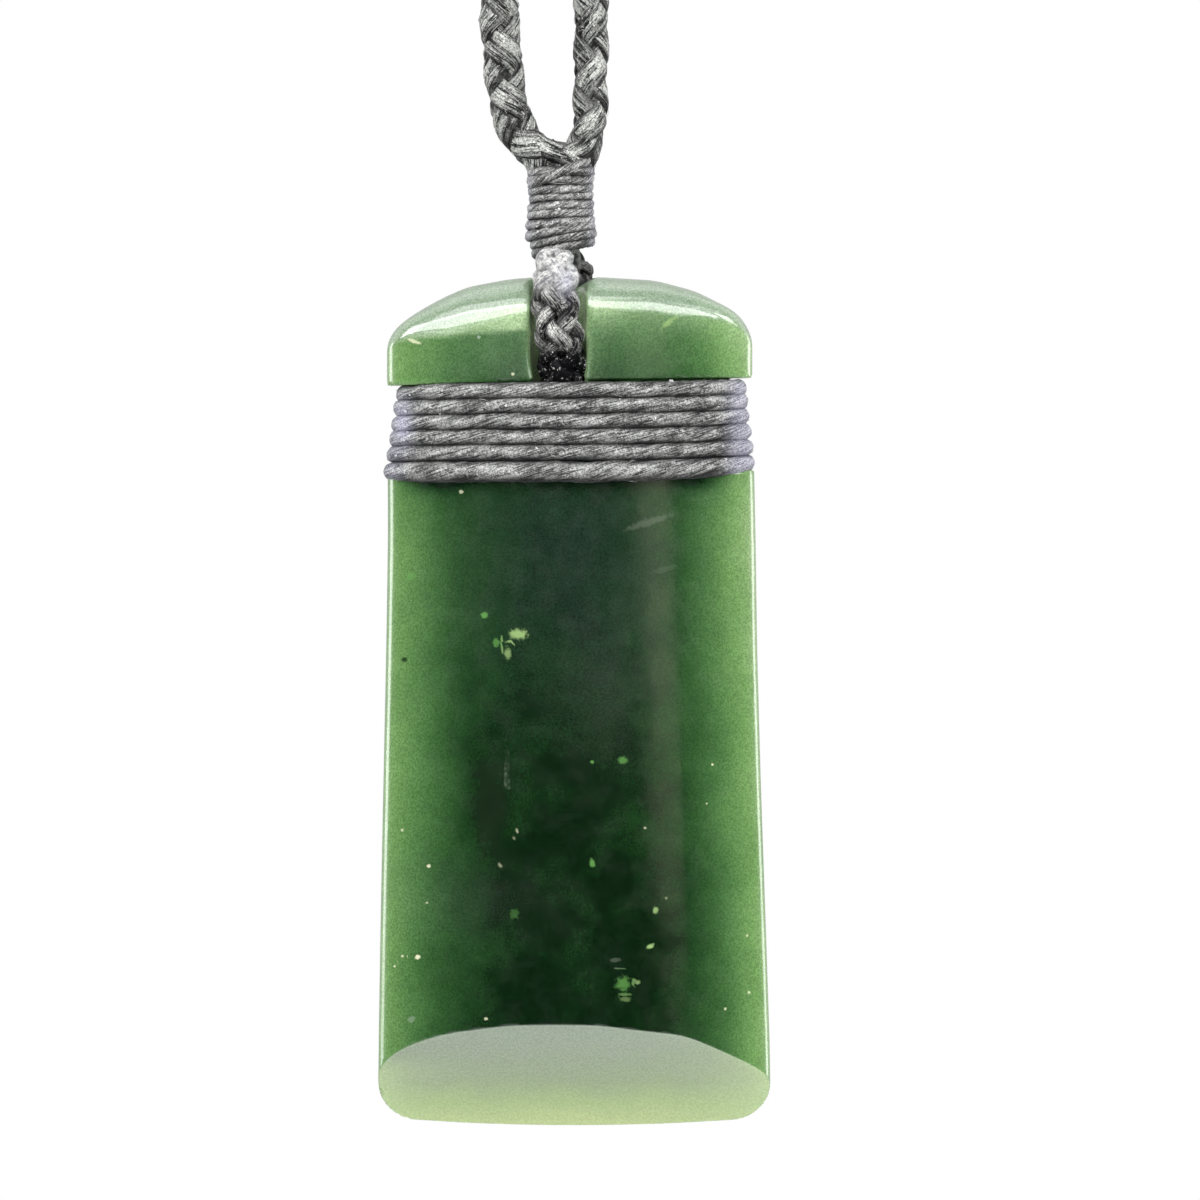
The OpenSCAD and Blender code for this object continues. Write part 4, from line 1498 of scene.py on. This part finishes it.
@dataclass
class TopWhipping:
    """Thread wound round the gathered cords above the bail."""

    yarn: Yarn = Yarn(radial=0.21, sideways=0.29, plies=2, lay=5.0, direction=Lay.RIGHT, groove=0.05,
                      sides=16, relief=0.060, fibre=15.0, stretch=1.2, fibre_turn=0.35, ply_dark=0.35,
                      underside=0.3)
    crumbs: tuple[tuple[float, float, float], ...] = (
        (-0.2, 53.9, 0.10), (0.1, 53.85, 0.08), (1.2, 54.1, 0.09), (0.9, 54.0, 0.07), (-0.4, 53.95, 0.07),
        (1.55, 52.6, 0.07), (-1.0, 55.6, 0.05), (0.5, 52.4, 0.06), (-1.5, 52.9, 0.06))
    step: float = 0.1
    low: float = 51.42
    turns: float = 10.4
    pitch: float = 0.50
    start_angle: float = 60.0
    angle_step: float = 2.0
    sway_seed: int = 5
    cord_seed: int = 7
    crossing_seed: int = 9
    hair_seed: int = 72
    crumb_seed: int = 32
    hair_count: int = 70
    profile: tuple[tuple[float, float, float], ...] = (
        (51.1, -0.02, 1.74), (51.9, -0.03, 1.86), (52.6, -0.17, 2.10), (53.3, -0.12, 2.0),
        (54.5, -0.08, 1.87), (55.6, -0.11, 1.95), (56.2, -0.12, 1.96), (56.8, -0.1, 1.72))

    def wound(self, angle: Array, height: Array, lift: Array) -> tuple[Array, Array]:
        """Winds the thread round the gathered cords.

        Args:
            angle: angles round them, in radians.
            height: height at each angle.
            lift: distance by which it stands off them at each angle.

        Returns:
            The thread's points, and the direction away from the cords at each.
        """
        z, middle, half = np.array(self.profile).T
        reach = np.interp(height, z, half) - self.yarn.radial + lift
        x = np.interp(height, z, middle) + reach * np.cos(angle)
        path = np.stack([x, reach * np.sin(angle), height], axis=1)
        out = np.stack([np.cos(angle), np.sin(angle), np.zeros_like(angle)], axis=1)
        both = even_steps(np.hstack([path, out]), self.step)
        return both[:, :3], both[:, 3:]

    def coil(self) -> Skin:
        """Builds the turns of the thread, with its loose fibres and crumbs of wax.

        Returns:
            Their skin.
        """
        end_angle = self.start_angle + 360.0 * self.turns
        angle = np.radians(np.arange(self.start_angle, end_angle, self.angle_step))
        height = self.low + self.pitch * (angle - angle[0]) / (2 * math.pi)
        draw = np.random.default_rng(self.sway_seed)
        knots = np.arange(angle[0], angle[-1] + 2, 1.3)
        sway = np.interp(angle, knots, draw.normal(0, 0.075, len(knots)))
        height = height + sway + 0.17 * np.cos(angle) * ease(height, 54.2, 51.6)
        path, out = self.wound(angle, height, np.abs(sway) * 0.8)
        thick = 0.4 + 0.6 * tapered(arc_length(path), 0.5)
        cord = self.yarn.loft(path, unit(out), self.cord_seed, thick, crowd=1.0)
        return Skin.joined([cord, self.crossing(), *cord.crumbs(self.crumbs, self.crumb_seed),
                            *self.yarn.hairs(path, out, self.hair_seed, self.hair_count, thick)])

    def crossing(self) -> Skin:
        """Builds the last pass of the thread, which climbs over the others at the front.

        Returns:
            The skin of that pass.
        """
        angle = np.radians(np.arange(165.0, 372.0, self.angle_step))
        share = (angle - angle[0]) / (angle[-1] - angle[0])
        height = 55.35 + 1.35 * ease(share, 0.1, 0.85)
        lift = 0.20 * ease(share, 0.0, 0.25) * ease(1 - share, 0.0, 0.3)
        path, out = self.wound(angle, height, lift - 0.04)
        thick = 0.4 + 0.6 * tapered(arc_length(path), 0.6)
        return self.yarn.loft(path, unit(out), self.crossing_seed, thick, crowd=0.6)

    def build(self) -> None:
        """Makes the whipping piece."""
        skin = self.coil()
        x = skin.points[:, 0]
        # painted sheen: paler lilac toward both sides of the whipping, where the thread curves round
        skin.values["lilac"] = 0.22 * (ease(-x, 1.5, 2.2) + ease(x, 1.3, 1.9))
        skin.points[:, 2] += EDGE_Z
        finish = WaxedYarn("waxed_whipping", dark=(0.036, 0.037, 0.036), light=(0.48, 0.48, 0.47),
                           crumb=(0.88, 0.88, 0.88), crumbs=1.0, roughness=0.5, sheen=0.12)
        skin.piece("whipping_thread", finish.material(), Slot.WHIPPING, ["whipping"])


@dataclass
class NeckCord:
    """The braided loop, from the whipping up the left, over the neck and down the right."""

    braid: Braid = Braid(pitch=6.0, ring=0.47, weave=0.17)
    yarn: Yarn = Yarn(radial=0.43, sideways=0.80, plies=3, lay=70.0, direction=Lay.RIGHT, groove=0.09,
                      sides=16, relief=0.020, stretch=0.8, meet_power=5.0, ply_dark=0.55,
                      underside=0.30, fullness=2.3)
    core: Yarn = Yarn(radial=0.55, sideways=0.55, plies=1, lay=9.0, direction=Lay.RIGHT, groove=0.0,
                      sides=8)
    near_step: float = 0.12
    far_step: float = 0.3
    near_reach: float = 16.0
    left_foot: tuple[tuple[float, float], ...] = (
        (-0.5, -284.6), (-0.6, -283.2), (-1.0, -282.2), (-1.78, -281.35), (-2.5, -280.5), (-3.0, -279.4),
        (-3.27, -278.1), (-3.46, -276.8), (-3.55, -275.4), (-3.7, -273.9), (-3.7, -272.0), (-4.1, -268.0),
        (-6.3, -260.0), (-9.2, -250.0))
    right_foot: tuple[tuple[float, float], ...] = (
        (0.6, -284.6), (0.75, -283.0), (1.0, -281.9), (1.32, -281.0), (1.53, -280.2), (1.64, -279.2),
        (1.64, -278.0), (1.65, -276.8), (1.69, -275.4), (1.68, -273.9), (1.7, -272.0), (2.4, -267.0),
        (5.2, -257.0), (9.2, -246.0))
    loop: tuple[tuple[float, float], ...] = (
        (22.1, -205.0), (35.0, -160.0), (48.0, -115.0), (58.0, -79.0), (61.0, -62.0), (59.6, -47.0),
        (53.6, -31.0), (43.1, -16.8), (30.5, -7.2), (15.8, -1.1))
    crossings: tuple[tuple[tuple[float, float, float], ...], ...] = (
        ((-2.6, -0.35, -280.2), (-1.7, -0.75, -280.95), (-0.7, -0.85, -281.5), (0.2, -0.85, -281.85),
         (0.9, -0.8, -282.3), (1.3, -0.7, -283.2)),
        ((-2.0, 0.4, -280.7), (-1.0, 0.8, -281.3), (0.1, 0.8, -281.6), (1.1, 0.7, -282.0),
         (1.5, 0.6, -283.0)),
        ((1.9, -0.3, -280.5), (1.35, -0.75, -281.2), (0.6, -0.7, -281.6), (-0.2, -0.75, -282.1),
         (-0.7, -0.7, -283.2)),
        ((-0.9, 0.0, -281.0), (-0.3, 0.1, -281.9), (0.1, 0.1, -282.4), (0.2, 0.0, -283.6)),
        ((1.1, 0.2, -281.0), (0.6, 0.2, -281.9), (0.5, 0.1, -282.5), (0.5, 0.0, -283.6)),
        ((-1.9, -0.2, -281.3), (-1.2, -0.6, -281.9), (-0.4, -0.7, -282.15), (0.5, -0.7, -282.2),
         (1.2, -0.5, -282.5)))
    back_crossing: int = 1
    left_size: float = 1.14
    left_turn: float = 57.0
    right_turn: float = 124.0
    strands: int = 4
    cord_seed: int = 40
    core_seed: int = 30
    hair_seed: int = 90
    bridge_seed: int = 60
    hair_count: int = 40
    hair_rows: int = 130

    def middle(self) -> Array:
        """Works out the middle line of the whole loop.

        Returns:
            Its points, closer together near the whipping.
        """
        left = [[x, 0.0, z] for x, z in self.left_foot] + [[-x, 0.0, z] for x, z in self.loop]
        right = [[x, 0.0, z] for x, z in self.right_foot] + [[x, 0.0, z] for x, z in self.loop]
        path = smooth_curve(left + [[0.0, 0.0, 1.03]] + right[::-1], 0.06)
        run = arc_length(path)
        near = np.arange(0.0, self.near_reach, self.near_step)
        far = np.arange(self.near_reach, run[-1] - self.near_reach, self.far_step)
        places = np.concatenate([near, far, run[-1] - near[::-1]])
        return np.stack([np.interp(places, run, path[:, i]) for i in range(3)], axis=1)

    def bridges(self) -> list[Skin]:
        """Builds the strands that cross between the two cords just above the whipping.

        Returns:
            One skin for each crossing strand.
        """
        skins = []
        for number, rows in enumerate(self.crossings):
            path = smooth_curve([list(row) for row in rows], self.near_step)
            face = 1.0 if number == self.back_crossing else -1.0
            out = np.tile([0.0, face, 0.35], (len(path), 1))
            share = np.linspace(0, 1, len(path))
            thick = 0.55 + 0.25 * ease(share, 0.0, 0.25) * ease(1 - share, 0.0, 0.25)
            skins.append(self.yarn.loft(path, out, self.bridge_seed + number, thick, crowd=0.9))
        return skins

    def build(self) -> None:
        """Makes one piece for each half of the loop."""
        centre = self.middle()
        run = arc_length(centre)
        share = run / run[-1]
        turned = self.left_turn + (self.right_turn - self.left_turn) * ease(share, 0.1, 0.9)
        from_end = np.minimum(run, run[-1] - run)
        squeeze = (0.5 + 0.5 * ease(from_end, 1.2, 2.7)) * (1 + (self.left_size - 1) * ease(share, 0.6, 0.4))
        finish = WaxedYarn("waxed_neck_cord", dark=(0.005, 0.006, 0.005), light=(0.58, 0.59, 0.56),
                           crumb=(0.95, 0.95, 0.90), crumbs=1.0, roughness=0.42, sheen=0.02, gloss=0.10,
                           balance=-0.005)
        material = finish.material()
        side = np.array([0.0, 1.0, 0.0])
        top = int(np.argmin(np.abs(centre[:, 0] + 1e3 * (centre[:, 2] < -5))))
        for name, cut, near, bridges in (
                ("left", slice(0, top + 1), slice(0, self.hair_rows), self.bridges()),
                ("right", slice(top, len(centre)), slice(-self.hair_rows, None), [])):
            strands = []
            thick = squeeze[cut]
            for k in range(self.strands):
                path, out = self.braid.strand(k, centre, side, turned, squeeze)
                path, out = path[cut], out[cut]
                strands.append(self.yarn.loft(path, out, self.cord_seed + k, thick, crowd=0.95))
                strands += self.yarn.hairs(path[near], out[near], self.hair_seed + k, self.hair_count,
                                           thick[near])
            outward = np.tile(side, (len(thick), 1))
            strands.append(self.core.loft(centre[cut], outward, self.core_seed, thick))
            # painted shade: the core only shows between the strands, so it is made mostly dark
            strands[-1].values["groove"] = np.full(len(strands[-1].points), 0.8)
            skin = Skin.joined(strands + bridges)
            skin.piece(f"neck_braid_{name}", material, Slot.NECK, [f"neck_cord_{name}"])


@dataclass
class Studio:
    """Camera, lights, surroundings and floor.

    A lamp is its name, its place from the middle of the blade and its size, both in metres, and
    its radiance. A room band is its shift to the right in mm and its radiance.
    """

    centre: tuple[float, float] = (2.2, -307.9)
    view_width: float = 70.59
    lens: float = 420.0
    sensor: float = 36.0
    floor_z: float = -0.45
    floor_radius: float = 0.85
    fade_start: float = 0.25
    soft_lamps: tuple[Lamp, ...] = (
        ("key_softbox", (-0.18, -0.42, 0.55), (0.55, 0.4), 3.9),
        ("fill_softbox", (0.45, -0.35, 0.35), (0.4, 0.4), 2.4),
        ("low_bounce", (0.0, -0.3, -0.35), (0.6, 0.3), 1.4))
    gloss_lamps: tuple[Lamp, ...] = (
        ("left_strip", (-0.5, 0.17, 0.045), (0.15, 0.13), 5.7),
        ("left_low_strip", (-0.5, 0.17, -0.035), (0.15, 0.03), 4.0),
        ("right_strip", (0.5, 0.17, 0.022), (0.15, 0.20), 5.5),
        ("ridge_strip", (-0.2, -0.72, 0.402), (2.8, 0.436), 9.0),
        ("ridge_under", (0.1, -0.80, 0.13), (2.2, 0.09), 2.5),
        ("ridge_fade", (-0.1, -0.50, 0.66), (1.5, 0.34), 1.0),
        ("ridge_left", (-1.1, -0.5, 0.5), (0.5, 0.6), 9.0),
        ("ridge_right", (1.1, -0.5, 0.5), (0.5, 0.6), 9.0))
    room_bands: tuple[tuple[float, float], ...] = (
        (-40, 1.0), (-10, 0.95), (10, 0.98), (28, 0.95), (42, 0.75))
    room_x: float = 258.0
    room_top: float = 57.2
    room_pitch: float = 13.6

    def camera(self) -> None:
        """Makes the camera at the photograph's angle."""
        data = bpy.data.cameras.new("camera")
        data.lens, data.sensor_width = self.lens, self.sensor
        data.clip_start, data.clip_end = 0.01, 20.0
        made = bpy.data.objects.new("camera", data)
        bpy.context.scene.collection.objects.link(made)
        away = self.view_width * MM * self.lens / self.sensor
        made.location = (self.centre[0] * MM, -away, self.centre[1] * MM)
        made.rotation_euler = (math.radians(90), 0, 0)
        bpy.context.scene.camera = made

    def lamp(self, name: str, where: Vector, aim: Vector, size: tuple[float, float], power: float,
             colour: Colour = (1.0, 1.0, 1.0), gloss_only: bool = False) -> None:
        """Hangs a soft rectangular light.

        Args:
            name: name of the light.
            where: its place in metres.
            aim: the point it faces.
            size: its width and height in metres.
            power: radiance of its face, where 1 is white.
            colour: its colour.
            gloss_only: shows it only as a reflection.
        """
        data = bpy.data.lights.new(name, "AREA")
        data.shape, data.size, data.size_y = "RECTANGLE", size[0], size[1]
        data.energy = power * size[0] * size[1] * math.pi
        data.color = colour
        made = bpy.data.objects.new(name, data)
        bpy.context.scene.collection.objects.link(made)
        made.location = where
        made.rotation_euler = (aim - where).to_track_quat("-Z", "Y").to_euler()
        made.visible_camera = False
        made.visible_diffuse = not gloss_only

    def lights(self) -> None:
        """Hangs the lights round the pendant."""
        aim = Vector((0.0, 0.0, (EDGE_Z + 28.0) * MM))
        for name, place, size, power in self.soft_lamps:
            self.lamp(name, aim + Vector(place), aim, size, power)
        for name, place, size, power in self.gloss_lamps:
            self.lamp(name, aim + Vector(place), aim, size, power, gloss_only=True)
        for i, (shift, power) in enumerate(self.room_bands):
            height = EDGE_Z + self.room_top - self.room_pitch * i
            band = Vector(((self.room_x + shift) * MM, -1.0, height * MM))
            self.lamp(f"room_reflection_{i + 1}", band, Vector((0.005, 0.0, band.z)),
                      (0.16, self.room_pitch * MM), power, (1.0, 0.97, 0.74), gloss_only=True)

    def surroundings(self) -> None:
        """Makes the white background, dim in front so that polished faces stay deep."""
        world = bpy.data.worlds.new("surroundings")
        bpy.context.scene.world = world
        world.use_nodes = True
        tree = world.node_tree
        tree.nodes.clear()
        out = tree.nodes.new("ShaderNodeOutputWorld")
        ray = tree.nodes.new("ShaderNodeLightPath")
        place = tree.nodes.new("ShaderNodeTexCoord")
        split = tree.nodes.new("ShaderNodeSeparateXYZ")
        tree.links.new(place.outputs["Generated"], split.inputs[0])
        gloss = tree.nodes.new("ShaderNodeMath")
        gloss.operation = "MULTIPLY"
        for i, numbers in enumerate(((-0.3, 0.5, 0.02, 1.7), (0.55, 0.85, 1.0, 0.40))):
            part = tree.nodes.new("ShaderNodeMapRange")
            part.interpolation_type = "SMOOTHSTEP"
            for socket, number in zip(part.inputs[1:5], numbers):
                socket.default_value = number
            tree.links.new(split.outputs["Y"], part.inputs[0])
            tree.links.new(part.outputs[0], gloss.inputs[i])
        shades = []
        for strength in (1.0, 0.65):
            node = tree.nodes.new("ShaderNodeBackground")
            node.inputs["Strength"].default_value = strength
            shades.append(node)
        dim = tree.nodes.new("ShaderNodeBackground")
        tree.links.new(gloss.outputs[0], dim.inputs["Strength"])
        for node in (*shades, dim):
            node.inputs["Color"].default_value = (1.0, 1.0, 1.0, 1.0)
        inner, outer = tree.nodes.new("ShaderNodeMixShader"), tree.nodes.new("ShaderNodeMixShader")
        tree.links.new(ray.outputs["Is Glossy Ray"], inner.inputs[0])
        tree.links.new(shades[1].outputs[0], inner.inputs[1])
        tree.links.new(dim.outputs[0], inner.inputs[2])
        tree.links.new(ray.outputs["Is Camera Ray"], outer.inputs[0])
        tree.links.new(inner.outputs[0], outer.inputs[1])
        tree.links.new(shades[0].outputs[0], outer.inputs[2])
        tree.links.new(outer.outputs[0], out.inputs["Surface"])

    def floor(self) -> None:
        """Lays a round pale floor far under the pendant that fades out at its rim."""
        rings, sides = np.linspace(0, self.floor_radius, 14), 64
        points, faces = [], []
        for r in rings:
            for j in range(sides):
                a = 2 * math.pi * j / sides
                points.append((r * math.cos(a), r * math.sin(a), self.floor_z))
        for i in range(len(rings) - 1):
            for j in range(sides):
                k = (j + 1) % sides
                faces.append((i * sides + j, (i + 1) * sides + j, (i + 1) * sides + k, i * sides + k))
        mesh = bpy.data.meshes.new("floor")
        mesh.from_pydata(points, [], faces)
        n = Nodes("pale_floor")
        reach = n.add("VectorMath", operation="LENGTH")
        flat = n.add("VectorMath", operation="MULTIPLY")
        n.feed(flat.inputs[0], n.place())
        flat.inputs[1].default_value = (1.0, 1.0, 0.0)
        n.feed(reach.inputs[0], flat.outputs[0])
        fade = n.spread(reach.outputs["Value"], self.fade_start, self.floor_radius * 0.97, 1.0, 0.0)
        n.feed(n.shader.inputs["Alpha"], fade)
        n.shader.inputs["Base Color"].default_value = (0.86, 0.86, 0.85, 1.0)
        n.shader.inputs["Roughness"].default_value = 0.8
        mesh.materials.append(n.material)
        made = bpy.data.objects.new("floor", mesh)
        bpy.context.scene.collection.objects.link(made)


def main() -> None:
    """Builds the scene in order."""
    logging.basicConfig(level=logging.INFO, format="%(message)s")
    bpy.context.scene.view_settings.view_transform = "Standard"
    studio = Studio()
    steps: list[Callable[[], None]] = [
        studio.camera, studio.surroundings, studio.lights, studio.floor, StoneBlade().build,
        WaistLashing().build, BraidedBail().build, TopWhipping().build, NeckCord().build]
    for make in steps:
        make()


if __name__ == "__main__":
    main()
